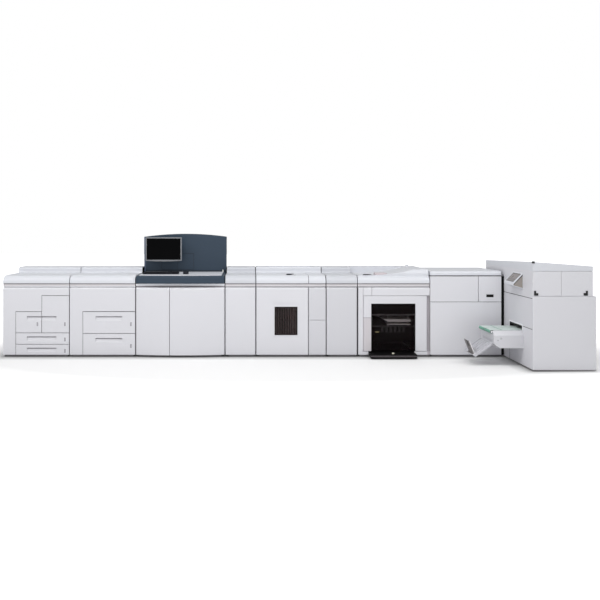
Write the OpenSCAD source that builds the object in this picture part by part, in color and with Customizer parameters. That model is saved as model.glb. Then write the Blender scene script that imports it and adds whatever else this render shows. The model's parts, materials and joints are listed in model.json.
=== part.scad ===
// Digital production printer line: two sheet feeders, a print engine with an
// operator console, two transport modules, two stackers, an interface module
// and a booklet maker with a delivery belt and tray.

/* [Line] */
// Depth of the modules, from their front plane to their rear
line_depth = 780; // [760:5:820]
// Gap between neighbouring modules
seam = 10; // [10:1:14]
// Height of the cabinet undersides above the floor
toe_height = 28; // [26:1:36]
// Setback of the dark plinth behind the front plane
toe_setback = 45; // [35:5:70]
// Height of the top edge of doors and front panels
panel_top = 834; // [820:2:850]
// Height of the recessed band between panels and hoods
band_height = 42; // [38:1:50]
// Setback of the recessed band behind the front plane
band_recess = 12; // [8:1:16]
// Radius of the rolled top edge of doors and panels
rolled_edge = 24; // [12:1:28]

/* [Module widths] */
// Width of the four-drawer feeder
feeder_a_w = 800; // [780:10:860]
// Width of the two-drawer feeder
feeder_b_w = 790; // [770:10:850]
// Width of the print engine
engine_w = 1072; // [1050:4:1120]
// Width of the first transport module
transport_a_w = 370; // [340:10:420]
// Width of the first stacker
stacker_a_w = 840; // [820:10:900]
// Width of the second transport module
transport_b_w = 378; // [340:10:420]
// Width of the second stacker
stacker_b_w = 866; // [850:4:920]
// Width of the interface module
interface_w = 848; // [820:4:900]
// Width of the dark docking strip before the booklet maker
docking_w = 35; // [25:1:45]

/* [Hoods] */
// Rise of the low front part of a hood above the band
hood_low = 93; // [88:1:110]
// Rise of the raised rear part of a hood above the low part
hood_step = 70; // [60:1:90]
// Radius of the front edge of a hood
hood_edge = 85; // [70:1:86]
// Depth at which the raised part of a hood starts
hood_step_y = 525; // [480:5:560]
// Radius at the top of the raised part
hood_step_r = 28; // [16:1:34]
// Radius of the hollow at the foot of the raised part
hood_foot_r = 22; // [12:1:30]

/* [Doors] */
// Thickness of a door
door_t = 40; // [36:1:44]
// Depth from the front plane to the cabinet face behind a door
door_room = 50; // [50:1:60]
// Free gap above and below a door and beside its free edge
door_gap = 6; // [6:0.5:9]
// Radius of the upright edges of a door
door_edge = 15; // [12:1:17]
// Distance of the hinge axis from a door's hinged edge and its face
hinge_inset = 20; // [19:0.5:22]
// Radius of a hinge pin
pin_r = 5; // [4:0.5:7]
// Running clearance round a hinge pin
pin_clear = 0.3; // [0.2:0.05:0.5]
// Depth of a hinge pin in the door
pin_depth = 22; // [16:1:34]
// Bow of the two engine doors at their middle
bow = 42; // [30:1:46]
// Width of the left engine door
engine_door_l = 405; // [380:5:440]

/* [Drawers] */
// Thickness of a drawer front
front_t = 30; // [26:1:34]
// Gap between neighbouring drawer fronts
front_gap = 6; // [5.5:0.5:8]
// Width of the fixed column left of the drawers in the four-drawer feeder
column_a = 152; // [130:2:180]
// Width of the left drawer
left_drawer_w = 312; // [290:2:330]
// Height of the bottom drawer
bottom_drawer_h = 129; // [120:1:140]
// Height of the middle drawer
middle_drawer_h = 136; // [126:1:146]
// Height of the left drawer
left_drawer_h = 254; // [230:2:270]
// Height of the tall drawer
tall_drawer_h = 446; // [420:2:460]
// Width of the fixed column left of the drawers in the two-drawer feeder
column_b = 155; // [130:2:180]
// Height of the lower drawer of the two-drawer feeder
lower_drawer_h = 258; // [240:2:270]
// Height of the upper drawer of the two-drawer feeder
upper_drawer_h = 261; // [240:2:270]
// Length of a drawer box behind its front
box_l = 500; // [460:10:540]
// Thickness of the sheet of a drawer box
box_t = 3; // [2.5:0.5:4]
// Free room beside a drawer box
box_side = 14; // [13:0.5:15]
// Running gap between a drawer flange and its runner
runner_gap = 0.4; // [0.3:0.05:0.5]

/* [Stackers] */
// Width of the door of the first stacker
stacker_a_door_w = 624; // [600:4:650]
// Width of the small window
window_a_w = 276; // [240:2:320]
// Height of the small window
window_a_h = 342; // [300:2:380]
// Height of the lower edge of the small window
window_a_z = 261; // [230:1:300]
// Height of the split between the narrow side panels
side_split_z = 443; // [400:1:500]
// Width of the fixed column left of the large door
column_f = 58; // [54:1:66]
// Width of the shadow strip right of the large door
strip_f = 22; // [20:1:28]
// Height of the top edge of the large door
large_door_top = 731; // [700:1:745]
// Width of the large window
window_b_w = 531; // [500:1:560]
// Height of the upper edge of the large window
window_b_top = 640; // [600:1:660]
// Width of the door stile left of the large window
stile_f = 93; // [84:1:110]
// Thickness of the tinted sheets
glass_t = 5; // [4:0.5:6]
// Width of the ledge that a tinted sheet rests on
glass_lap = 9; // [6:1:12]
// Height of the cart's front bar
cart_h = 66; // [60:1:68]
// Reach of the cart's front bar before the front plane
cart_reach = 145; // [110:5:170]

/* [Console] */
// Height of the console ledge
ledge_h = 93; // [84:1:100]
// Reach of the console ledge behind the front plane
ledge_depth = 610; // [590:5:640]
// Height of the tall console panel at its ends, above the ledge
console_h = 457; // [420:1:480]
// Extra height of the tall console panel at its middle
console_arch = 37; // [20:1:50]
// Thickness of the tall console panel
console_t = 150; // [120:5:165]
// Width of the monitor
monitor_w = 456; // [400:2:500]
// Height of the monitor
monitor_h = 297; // [270:1:320]
// Thickness of the monitor
monitor_t = 42; // [36:1:50]
// Height of the monitor's lower edge above the ledge
monitor_lift = 155; // [140:1:180]
// Width of the monitor's bezel
bezel = 16; // [12:1:22]

/* [Interface module] */
// Height of the top edge of the interface module's panels
interface_top = 966; // [940:1:990]
// Height of the split between its upper and lower panels
interface_split = 660; // [620:1:700]
// Width of its left upper panel
interface_left_w = 574; // [540:2:600]
// Thickness of its panels
panel_t = 20; // [16:1:24]
// Height of its domed top cover
dome_h = 62; // [54:1:70]

/* [Booklet maker] */
// Width of the booklet maker's body
booklet_w = 648; // [620:2:680]
// Reach of the booklet maker before the front plane
booklet_reach = 785; // [740:5:800]
// Depth at which the booklet maker's rear lies
booklet_rear = 600; // [560:5:640]
// Overhang of the lower front cover past the body
cover_overhang = 36; // [30:1:44]
// Thickness of the front cover and doors
cover_t = 24; // [20:1:28]
// Height of the lower front cover's top edge
cover_top = 810; // [780:1:830]
// Height of the lid's underside
lid_z = 1081; // [1060:1:1100]
// Height of the lid at its left edge
lid_left_h = 100; // [80:1:120]
// Height of the lid at its right edge
lid_right_h = 52; // [40:1:70]
// Width of the left upper door
upper_door_w = 307; // [280:1:330]
// Length of a corner latch's legs
latch_leg = 50; // [40:1:56]

/* [Delivery belt and tray] */
// Reach of the conveyor to the left of the booklet maker
conveyor_reach = 334; // [310:2:350]
// Width of the conveyor
conveyor_w = 395; // [330:1:360]
// Front edge of the conveyor, before the front plane
conveyor_front = 555; // [540:1:570]
// Height of the belts' top
belt_top = 404; // [390:1:420]
// Thickness of a belt
belt_t = 2.5; // [2:0.5:3]
// Radius of the belt rollers
roller_r = 16; // [13:1:18]
// Gap between the two belts
belt_split = 22; // [14:1:30]
// Height of the belt slot above the belts
slot_h = 50; // [40:1:60]
// Slope of the delivery tray in degrees
tray_slope = 36; // [30:1:40]
// Length of the delivery tray along its slope
tray_l = 254; // [240:1:270]
// Width of the delivery tray
tray_w = 318; // [280:1:330]
// Thickness of the tray sheet
tray_t = 5; // [4:0.5:7]
// Height of the tray's end stop
stop_h = 145; // [140:1:175]
// Width of the touch screen housing
touch_w = 248; // [220:2:270]
// Reach of the touch screen housing
touch_reach = 114; // [100:1:130]

/* [Hidden] */
$fn = 64;

// Colours
panel_white = [0.87, 0.87, 0.89];
hood_white = [0.91, 0.92, 0.94];
console_blue = [0.29, 0.35, 0.40];
seal_dark = [0.16, 0.16, 0.17];
glass_dark = [0.10, 0.08, 0.08];
belt_mint = [0.55, 0.75, 0.67];
metal_grey = [0.62, 0.62, 0.64];

// Extra length of a cut, and of a piece that runs into its own neighbour in a union
cut = 1;

// Places of the modules along the line
x_a = 0;
x_b = x_a + feeder_a_w;
x_m = x_b + feeder_b_w;
x_c = x_m + engine_w;
x_d = x_c + transport_a_w;
x_e = x_d + stacker_a_w;
x_f = x_e + transport_b_w;
x_g = x_f + stacker_b_w;
line_end = x_g + interface_w;
x_h = line_end + docking_w;
x_end = x_h + booklet_w + cover_overhang;
centre_x = x_end / 2;
centre_y = (line_depth - booklet_reach) / 2;

// Heights of the band and the hoods
band_z = panel_top + door_gap;
hood_z = band_z + band_height;
hood_low_z = hood_z + hood_low;

// ---------------------------------------------------------------- helpers

// Moves the line from its front left floor corner to its place round the origin
module place() {
    translate([-centre_x, -centre_y, 0]) children();
}

// Block between two corners
module block(x0, x1, y0, y1, z0, z1) {
    translate([x0, y0, z0]) cube([x1 - x0, y1 - y0, z1 - z0]);
}

// Extrudes a profile, drawn in depth and height, along the line
module along_x(x0, x1) {
    translate([x0, 0, 0]) rotate([90, 0, 90]) linear_extrude(x1 - x0) children();
}

// Extrudes an outline, drawn in the front view, from depth y0 to y1
module along_y(y0, y1) {
    translate([0, y1, 0]) rotate([90, 0, 0]) linear_extrude(y1 - y0) children();
}

// Extrudes a plan from height z0 to z1
module along_z(z0, z1) {
    translate([0, 0, z0]) linear_extrude(z1 - z0) children();
}

// Rectangle with round corners, between two corners
module round_rect(x0, x1, y0, y1, r) {
    translate([x0 + r, y0]) square([x1 - x0 - 2 * r, y1 - y0]);
    translate([x0, y0 + r]) square([x1 - x0, y1 - y0 - 2 * r]);
    for (x = [x0 + r, x1 - r], y = [y0 + r, y1 - r]) translate([x, y]) circle(r);
}

// Profile of a block whose upper front edge is rounded: depth y0 to y1, height z0 to z1
module rolled_profile(y0, y1, z0, z1, r) {
    intersection() {
        translate([y0, z0]) square([y1 - y0, z1 - z0]);
        union() {
            translate([y0, z0]) square([y1 - y0, z1 - z0 - r]);
            translate([y0 + r, z0]) square([y1 - y0 - r, z1 - z0]);
            translate([y0 + r, z1 - r]) circle(r);
        }
    }
}

// Profile of a cabinet body with its face at depth face and the recessed band above it
module cabinet_profile(face) {
    translate([face, toe_height]) square([line_depth - face, hood_z - toe_height]);
    translate([band_recess, band_z]) square([line_depth - band_recess, band_height]);
}

// Profile of a hood: round front edge, flat work top, raised rear part
module hood_profile(step) {
    top = hood_low_z + step;
    rolled_profile(0, line_depth, hood_z, hood_low_z, hood_edge);
    rolled_profile(hood_step_y, line_depth, hood_low_z - cut, top, hood_step_r);
    difference() {
        translate([hood_step_y - hood_foot_r, hood_low_z - cut])
            square([hood_foot_r + cut, hood_foot_r + cut]);
        translate([hood_step_y - hood_foot_r, hood_low_z + hood_foot_r]) circle(hood_foot_r);
    }
}

// Frame-shaped seam, cut groove_d deep into a face at depth y
groove_w = 4;
groove_d = 3;
module groove_frame(x0, x1, z0, z1, y) {
    difference() {
        block(x0, x1, y - cut, y + groove_d, z0, z1);
        block(x0 + groove_w, x1 - groove_w, y - 2 * cut, y + groove_d + cut, z0 + groove_w, z1 - groove_w);
    }
}

// ---------------------------------------------------------------- hinges

hinge_sink = 2;  // free depth of a bore past its pin
bracket_w = 36;  // width of a bottom hinge bracket
bracket_t = 8;  // thickness of a bottom hinge bracket

// Bores for the hinge pins at the bottom and top of a door
module hinge_bores(hinge_x, z0, z1) {
    for (z = [z0 - cut, z1 - pin_depth])
        translate([hinge_x, hinge_inset, z]) cylinder(r = pin_r + pin_clear, h = pin_depth + cut);
}

// Pin that points down from a beam at height z into a door
module top_pin(hinge_x, z) {
    drop = door_gap + pin_depth - hinge_sink;
    translate([hinge_x, hinge_inset, z - drop]) cylinder(r = pin_r, h = drop + cut);
}

// Pin that points up from a bracket with its top at height z
module bottom_pin(hinge_x, z) {
    translate([hinge_x, hinge_inset, z - cut])
        cylinder(r = pin_r, h = cut + door_gap + pin_depth - hinge_sink);
}

// Bracket with its pin, before the plinth, under a door that reaches down to the toe
module hinge_bracket(hinge_x) {
    top = toe_height - door_gap;
    block(hinge_x - bracket_w / 2, hinge_x + bracket_w / 2, hinge_inset - bracket_w / 2 + 2,
        toe_setback + cut, top - bracket_t, top);
    bottom_pin(hinge_x, top);
}

// Flat door with a rolled top edge and round upright edges
module door_leaf(x0, x1, z0, z1, roll, hinge_x) {
    difference() {
        intersection() {
            along_x(x0 - cut, x1 + cut) rolled_profile(0, door_t, z0, z1, roll);
            along_z(z0 - cut, z1 + cut) round_rect(x0, x1, 0, door_t, door_edge);
        }
        hinge_bores(hinge_x, z0, z1);
    }
}

// ---------------------------------------------------------------- drawers

front_room = front_t + front_gap;  // depth of the carcass face behind the drawer fronts
bay_side = 18;  // carcass wall beside a bay, from the middle of the seam
bay_rim = 12;  // carcass shelf above and below a bay, from the same line
bay_extra = 60;  // free depth of a bay behind the drawer box
box_lift = 8;  // free height under a drawer box
box_head = 24;  // free height over a drawer box
runner_z = 40;  // height of a runner above the floor of its bay
runner_w = 8;  // width of a runner, and of the flange on it
runner_h = 6;  // height of a runner
flange_h = 4;  // height of a flange
slot_half = 7;  // half the height of a handle slot
slot_d = 17;  // depth of a handle slot
scoop_r = 60;  // radius of the scoop under a handle slot
scoop_d = 5;  // depth of that scoop
gauge_w = 18;  // width of the oval paper gauge
gauge_h = 48;  // height of the oval paper gauge
gauge_d = 1.5;  // depth of its recess

half_gap = front_gap / 2;
handle_half = 175;  // half the length of a handle slot in the four-drawer feeder
handle_half_b = 159;  // the same in the two-drawer feeder
handle_drop = 62;  // height of a handle slot below the top of a high drawer
low_handle_drop = 49;  // the same for a low drawer
gauge_drop = 88;  // height of a gauge below the handle slot of a high drawer
low_gauge_drop = 30;  // the same for a low drawer
gauge_inset = 52;  // distance of a gauge from the right edge of its drawer

a_right = x_a + feeder_a_w - seam + half_gap;
a_split = x_a + column_a + left_drawer_w;
a_low = toe_height - half_gap;
a_mid = a_low + bottom_drawer_h;
a_high = a_mid + middle_drawer_h;
a_handle_z = a_high + left_drawer_h - handle_drop;
b_left = x_b + column_b;
b_right = x_b + feeder_b_w - seam + half_gap;
b_mid = a_low + lower_drawer_h;
b_top = b_mid + upper_drawer_h;
b_handle_x = (b_left + b_right) / 2;

// A drawer: [x0, x1, z0, z1, handle x0, handle x1, handle height, gauge x, gauge height].
// Its edges lie in the middle of the gaps round it.
drawer_left = [x_a + column_a, a_split, a_high, a_high + left_drawer_h,
    a_split - handle_half, a_split, a_handle_z, a_split - gauge_inset, a_handle_z - gauge_drop];
drawer_tall = [a_split, a_right, a_high, a_high + tall_drawer_h,
    a_split, a_split + handle_half, a_handle_z, a_right - gauge_inset, a_handle_z - gauge_drop];
function low_drawer(z0, z1) = [x_a + column_a, a_right, z0, z1,
    a_split - handle_half, a_split + handle_half, z1 - low_handle_drop,
    a_right - gauge_inset, z1 - low_handle_drop - low_gauge_drop];
drawer_middle = low_drawer(a_mid, a_high);
drawer_bottom = low_drawer(a_low, a_mid);
drawers_a = [drawer_left, drawer_tall, drawer_middle, drawer_bottom];

function wide_drawer(z0, z1) = [b_left, b_right, z0, z1,
    b_handle_x - handle_half_b, b_handle_x + handle_half_b, z1 - handle_drop,
    b_right - gauge_inset, z1 - handle_drop - gauge_drop];
drawer_upper = wide_drawer(b_mid, b_top);
drawer_lower = wide_drawer(a_low, b_mid);
drawers_b = [drawer_upper, drawer_lower];

function bay_x0(d) = d[0] + bay_side;
function bay_x1(d) = d[1] - bay_side;
function bay_z0(d) = d[2] + bay_rim;
function bay_z1(d) = d[3] - bay_rim;
bay_end = front_room + box_l + bay_extra;

// Front of a drawer, with its handle slot, scoop and gauge recess
module drawer_front(d) {
    difference() {
        block(d[0] + half_gap, d[1] - half_gap, 0, front_t, d[2] + half_gap, d[3] - half_gap);
        block(d[4], d[5], -cut, slot_d, d[6] - slot_half, d[6] + slot_half);
        intersection() {
            block(d[4], d[5], -cut, slot_d, d[2], d[6]);
            translate([d[4] - cut, scoop_d - scoop_r, d[6] - scoop_r / 3])
                rotate([0, 90, 0]) cylinder(r = scoop_r, h = d[5] - d[4] + 2 * cut, $fn = 128);
        }
        along_y(-cut, gauge_d) gauge_outline(d[7], d[8]);
    }
}

// Upright oval of a paper gauge
module gauge_outline(x, z) {
    reach = (gauge_h - gauge_w) / 2;
    translate([x - gauge_w / 2, z - reach]) square([gauge_w, 2 * reach]);
    for (side = [-1, 1]) translate([x, z + side * reach]) circle(gauge_w / 2);
}

// Open box of a drawer, with the flanges that slide on the runners
module drawer_box(d) {
    x0 = bay_x0(d) + box_side;
    x1 = bay_x1(d) - box_side;
    z0 = bay_z0(d) + box_lift;
    z1 = bay_z1(d) - box_head;
    end = front_t + box_l;
    flange_z = bay_z0(d) + runner_z + runner_h + runner_gap;
    difference() {
        block(x0, x1, front_t - cut, end, z0, z1);
        block(x0 + box_t, x1 - box_t, front_t, end - box_t, z0 + box_t, z1 + cut);
    }
    block(x0 - runner_w, x0 + cut, front_t + bay_rim, end, flange_z, flange_z + flange_h);
    block(x1 - cut, x1 + runner_w, front_t + bay_rim, end, flange_z, flange_z + flange_h);
}

module drawer(d) {
    place() color(panel_white) {
        drawer_front(d);
        drawer_box(d);
    }
}

// Hollow for a drawer box in the carcass
module bay(d) {
    block(bay_x0(d), bay_x1(d), front_room - cut, bay_end, bay_z0(d), bay_z1(d));
}

// Pair of runners on the walls of a bay
module runners(d) {
    z = bay_z0(d) + runner_z;
    y0 = front_room + half_gap;
    block(bay_x0(d) - cut, bay_x0(d) + runner_w, y0, bay_end, z, z + runner_h);
    block(bay_x1(d) - runner_w, bay_x1(d) + cut, y0, bay_end, z, z + runner_h);
}

// Feeder cabinet: carcass with bays, fixed front panel round the drawers, recessed band
module feeder_cabinet(x0, x1, drawers) {
    place() color(panel_white) {
        difference() {
            union() {
                along_x(x0, x1) cabinet_profile(front_room);
                difference() {
                    along_x(x0, x1) rolled_profile(0, front_room + cut, toe_height, panel_top, rolled_edge);
                    for (d = drawers) block(d[0], d[1] + cut, -cut, front_room, d[2], d[3]);
                }
            }
            for (d = drawers) bay(d);
        }
        for (d = drawers) runners(d);
    }
}

module feeder_a_cabinet() {
    feeder_cabinet(x_a, x_b - seam, drawers_a);
}

module feeder_b_cabinet() {
    feeder_cabinet(x_b, x_m - seam, drawers_b);
}

module feeder_hoods() {
    place() color(hood_white) {
        along_x(x_a, x_b - seam) hood_profile(hood_step);
        along_x(x_b, x_m - seam) hood_profile(hood_step);
    }
}

// ---------------------------------------------------------------- print engine

engine_end = x_c - seam;
engine_mid = (x_m + engine_end) / 2;
bow_half = (engine_end - x_m) / 2 - door_edge;
bow_r = (bow_half * bow_half + bow * bow) / (2 * bow);
bow_sweep = 11;  // half the angle that the bowed pieces are swept over

// Sweeps a profile along the bow; the profile's depth is measured back from the bowed face
module along_bow() {
    translate([engine_mid, bow_r - bow, 0]) rotate([0, 0, -90 - bow_sweep])
        rotate_extrude(angle = 2 * bow_sweep, $fn = 256) translate([bow_r, 0]) mirror([1, 0]) children();
}

// Bowed door of width w with its hinge at the left end of the engine
module bowed_leaf(w) {
    x1 = x_m + w;
    difference() {
        intersection() {
            along_bow() rolled_profile(0, 2 * bow + door_t, toe_height, panel_top, rolled_edge);
            along_z(toe_height - cut, panel_top + cut) {
                translate([x_m + door_edge, -bow - cut]) square([w - door_edge, bow + cut + door_t]);
                translate([x_m, door_edge]) square([2 * door_edge, door_t - 2 * door_edge]);
                for (y = [door_edge, door_t - door_edge]) translate([x_m + door_edge, y]) circle(door_edge);
            }
        }
        hinge_bores(x_m + hinge_inset, toe_height, panel_top);
    }
}

module engine_door_left() {
    place() color(panel_white) bowed_leaf(engine_door_l);
}

module engine_door_right() {
    w = engine_end - x_m - engine_door_l - door_gap;
    place() color(panel_white) translate([2 * engine_mid, 0, 0]) mirror([1, 0, 0]) bowed_leaf(w);
}

module engine_cabinet() {
    place() color(panel_white) {
        along_x(x_m, engine_end) cabinet_profile(door_room);
        for (x = [x_m + hinge_inset, engine_end - hinge_inset]) top_pin(x, band_z);
    }
}

// ---------------------------------------------------------------- console

ledge_lip = 8;  // reach of the ledge before the engine doors
ledge_edge = 24;  // radius of the ledge's upper front edge
ledge_corner = 60;  // radius of the ledge's front corners
ledge_end_r = 34;  // radius of the ledge's upper ends
surface_t = 7;  // thickness of the light work surface
surface_inset = 16;  // distance of the work surface from the ledge's front and rear
surface_side = 38;  // distance of the work surface from the ledge's ends
surface_z = hood_z + ledge_h;
ledge_front = -bow - ledge_lip;

module console_ledge() {
    place() color(console_blue) intersection() {
        union() {
            along_bow() rolled_profile(-ledge_lip, 2 * bow + door_t, hood_z, surface_z, ledge_edge);
            block(x_m, engine_end, door_t, ledge_depth, hood_z, surface_z);
        }
        along_z(hood_z - cut, surface_z + cut) {
            round_rect(x_m, engine_end, ledge_front - cut, ledge_depth / 2, ledge_corner);
            translate([x_m, ledge_depth / 4]) square([engine_end - x_m, ledge_depth * 3 / 4]);
        }
        along_y(ledge_front - cut, ledge_depth + cut) {
            translate([x_m, hood_z - cut]) square([engine_end - x_m, ledge_h - ledge_end_r + 2 * cut]);
            translate([x_m + ledge_end_r, hood_z - cut])
                square([engine_end - x_m - 2 * ledge_end_r, ledge_h + 2 * cut]);
            for (x = [x_m + ledge_end_r, engine_end - ledge_end_r])
                translate([x, surface_z - ledge_end_r + cut]) circle(ledge_end_r);
        }
    }
}

module work_surface() {
    place() color(hood_white) along_z(surface_z, surface_z + surface_t) intersection() {
        translate([engine_mid, bow_r - bow + surface_inset]) circle(bow_r, $fn = 256);
        round_rect(x_m + surface_side, engine_end - surface_side,
            ledge_front, ledge_depth - surface_inset, ledge_corner - surface_inset);
    }
}

arch_half = (engine_end - x_m) / 2;
arch_r = (arch_half * arch_half + console_arch * console_arch) / (2 * console_arch);
console_top = surface_z + console_h + console_arch;
console_end = ledge_depth + console_t;
niche_w = 417;  // width of the recessed door low on the console panel
niche_h = 211;  // height of that door
niche_shift = 98;  // distance of that door left of the engine's middle
niche_lift = 31;  // height of its lower edge over the ledge
niche_split = 8;  // distance of its upright seam from its middle
niche_x = engine_mid - niche_shift;
niche_z = surface_z + niche_lift;

module console_panel() {
    place() color(console_blue) difference() {
        along_y(ledge_depth, console_end) intersection() {
            translate([x_m, hood_z]) square([engine_end - x_m, console_top - hood_z]);
            translate([engine_mid, console_top - arch_r]) circle(arch_r, $fn = 256);
        }
        groove_frame(niche_x - niche_w / 2, niche_x + niche_w / 2, niche_z, niche_z + niche_h, ledge_depth);
        block(niche_x - niche_split, niche_x - niche_split + groove_w, ledge_depth - cut,
            ledge_depth + groove_d, niche_z + groove_w, niche_z + niche_h - groove_w);
    }
}

monitor_x = x_m + 46;  // left edge of the monitor
monitor_y = 430;  // depth of the monitor's face
monitor_z = surface_z + monitor_lift;
monitor_mid_x = monitor_x + monitor_w / 2;
monitor_mid_z = monitor_z + monitor_h / 2;
screen_t = 3;  // thickness of the screen sheet
screen_fit = 0.3;  // clearance round the screen sheet
arm_r = 22;  // radius of the monitor's arm
plate_half = 50;  // half the width of the plate between monitor and arm
plate_t = 14;  // thickness of that plate

module monitor_housing() {
    back = monitor_y + monitor_t;
    place() color([0.30, 0.31, 0.33]) {
        difference() {
            block(monitor_x, monitor_x + monitor_w, monitor_y, back, monitor_z, monitor_z + monitor_h);
            block(monitor_x + bezel, monitor_x + monitor_w - bezel, monitor_y - cut, monitor_y + screen_t,
                monitor_z + bezel, monitor_z + monitor_h - bezel);
        }
        block(monitor_mid_x - plate_half, monitor_mid_x + plate_half, back - cut, back + plate_t,
            monitor_mid_z - plate_half, monitor_mid_z + plate_half);
        translate([monitor_mid_x, ledge_depth, monitor_mid_z]) rotate([90, 0, 0])
            cylinder(r = arm_r, h = ledge_depth - back - plate_t + cut);
    }
}

module monitor_screen() {
    edge = bezel + screen_fit;
    place() color([0.02, 0.02, 0.03])
        block(monitor_x + edge, monitor_x + monitor_w - edge, monitor_y + cut / 2, monitor_y + screen_t,
            monitor_z + edge, monitor_z + monitor_h - edge);
}

keyboard_w = 431;  // width of the keyboard
keyboard_y = 110;  // depth of its front edge
keyboard_d = 150;  // depth of the keyboard itself
keyboard_flat = 38;  // depth of its flat rear part
keyboard_low = 9;  // height of its front edge
keyboard_high = 22;  // height of its rear edge
desk_z = surface_z + surface_t;

module keyboard() {
    place() color([0.35, 0.36, 0.38]) translate([0, 0, desk_z])
        along_x(monitor_x + bezel, monitor_x + bezel + keyboard_w) polygon([
            [keyboard_y, 0],
            [keyboard_y + keyboard_d, 0],
            [keyboard_y + keyboard_d, keyboard_high],
            [keyboard_y + keyboard_d - keyboard_flat, keyboard_high],
            [keyboard_y, keyboard_low]
        ]);
}

mouse_w = 64;  // width of the mouse
mouse_l = 108;  // length of the mouse
mouse_h = 34;  // height of the mouse
mouse_r = 100;  // radius of its domed back
mouse_in = 104;  // distance of its middle from the keyboard's right end
mouse_x = monitor_x + keyboard_w + mouse_in;

module mouse() {
    place() color([0.35, 0.36, 0.38])
    translate([mouse_x, keyboard_y + mouse_l / 2 + bezel, desk_z]) intersection() {
        along_z(0, mouse_h) {
            translate([-mouse_w / 2, (mouse_w - mouse_l) / 2]) square([mouse_w, mouse_l - mouse_w]);
            for (side = [-1, 1]) translate([0, side * (mouse_l - mouse_w) / 2]) circle(mouse_w / 2);
        }
        translate([0, 0, mouse_h - mouse_r]) sphere(mouse_r, $fn = 96);
    }
}

// ---------------------------------------------------------------- transport modules

module transport_cabinets() {
    place() color(panel_white) {
        for (span = [[x_c, x_d - seam], [x_e, x_f - seam]]) {
            along_x(span[0], span[1]) cabinet_profile(door_room);
            top_pin(span[0] + hinge_inset, band_z);
        }
    }
}

module transport_a_door() {
    place() color(panel_white)
        door_leaf(x_c, x_d - seam, toe_height, panel_top, rolled_edge, x_c + hinge_inset);
}

module transport_b_door() {
    place() color(panel_white)
        door_leaf(x_e, x_f - seam, toe_height, panel_top, rolled_edge, x_e + hinge_inset);
}

module transport_hoods() {
    place() color(hood_white) {
        along_x(x_c, x_d - seam) hood_profile(hood_step);
        along_x(x_e, x_f - seam) hood_profile(hood_step);
    }
}

// ---------------------------------------------------------------- first stacker

wall = 25;  // thickness of a stacker's walls
room_depth = 640;  // depth of a stacker's room, from the front plane
glass_y = 12;  // depth of a tinted sheet behind the door's face
glass_fit = 0.3;  // clearance round a tinted sheet
rim_w = 12;  // width of the raised rim round the small window
rim_t = 3;  // height of that rim
stacker_a_end = x_e - seam;
stacker_a_door_end = x_d + stacker_a_door_w;
window_a_shift = 44;  // distance of the small window right of the door's middle
window_a_x0 = x_d + (stacker_a_door_w - window_a_w) / 2 + window_a_shift;
window_a_x1 = window_a_x0 + window_a_w;
window_a_top = window_a_z + window_a_h;

module stacker_a_cabinet() {
    place() color(panel_white) {
        difference() {
            along_x(x_d, stacker_a_end) cabinet_profile(door_room);
            block(x_d + wall, stacker_a_door_end - wall, door_room - cut, room_depth,
                toe_height + wall, panel_top - wall);
        }
        top_pin(x_d + hinge_inset, band_z);
    }
}

module stacker_a_door() {
    place() color(panel_white) difference() {
        union() {
            door_leaf(x_d, stacker_a_door_end, toe_height, panel_top, rolled_edge, x_d + hinge_inset);
            block(window_a_x0 - rim_w, window_a_x1 + rim_w, -rim_t, cut,
                window_a_z - rim_w, window_a_top + rim_w);
        }
        block(window_a_x0, window_a_x1, -rim_t - cut, door_t + cut, window_a_z, window_a_top);
        block(window_a_x0 - glass_lap, window_a_x1 + glass_lap, glass_y, door_t + cut,
            window_a_z - glass_lap, window_a_top + glass_lap);
        block(window_a_x0 - 2 * rim_w, window_a_x1 + 2 * rim_w, -cut, groove_d,
            window_a_top + 3 * rim_w, window_a_top + 3 * rim_w + groove_w);
    }
}

module stacker_a_window() {
    edge = glass_lap - glass_fit;
    place() color(glass_dark)
        block(window_a_x0 - edge, window_a_x1 + edge, glass_y, glass_y + glass_t,
            window_a_z - edge, window_a_top + edge);
}

module stacker_a_side_panels() {
    place() color(panel_white) {
        along_x(stacker_a_door_end + door_gap, stacker_a_end)
            rolled_profile(0, door_room, side_split_z + groove_w / 2, panel_top, rolled_edge);
        block(stacker_a_door_end + door_gap, stacker_a_end, 0, door_room,
            toe_height, side_split_z - groove_w / 2);
    }
}

tray_a_x0 = x_d + 138;  // left edge of the output tray in the first stacker's hood
tray_a_x1 = stacker_a_end - 124;  // its right edge
tray_a_y0 = 545;  // its front edge
tray_a_y1 = 742;  // its rear edge
tray_a_d = 34;  // its depth
hood_a_step = 76;  // rise of this hood's rear part
latch_w = 125;  // width of the wedge-shaped latch recess
latch_y = 96;  // its front edge
latch_l = 40;  // its length
latch_d = 16;  // its depth
latch_x = x_d + 357;  // its left edge

module stacker_a_hood() {
    top = hood_low_z + hood_a_step;
    place() color(hood_white) difference() {
        along_x(x_d, stacker_a_end) hood_profile(hood_a_step);
        block(tray_a_x0, tray_a_x1, tray_a_y0, tray_a_y1, top - tray_a_d, top + cut);
        along_x(latch_x, latch_x + latch_w) polygon([
            [latch_y, hood_low_z + cut],
            [latch_y, hood_low_z],
            [latch_y + latch_l, hood_low_z - latch_d],
            [latch_y + latch_l, hood_low_z + cut]
        ]);
        block(stacker_a_door_end, stacker_a_door_end + door_gap, -cut, hood_step_y - hood_foot_r - cut,
            hood_low_z - groove_d, hood_low_z + cut);
        block(stacker_a_door_end, stacker_a_door_end + door_gap, -cut, groove_d, hood_z - cut, hood_low_z);
    }
}

// ---------------------------------------------------------------- second stacker

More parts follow.
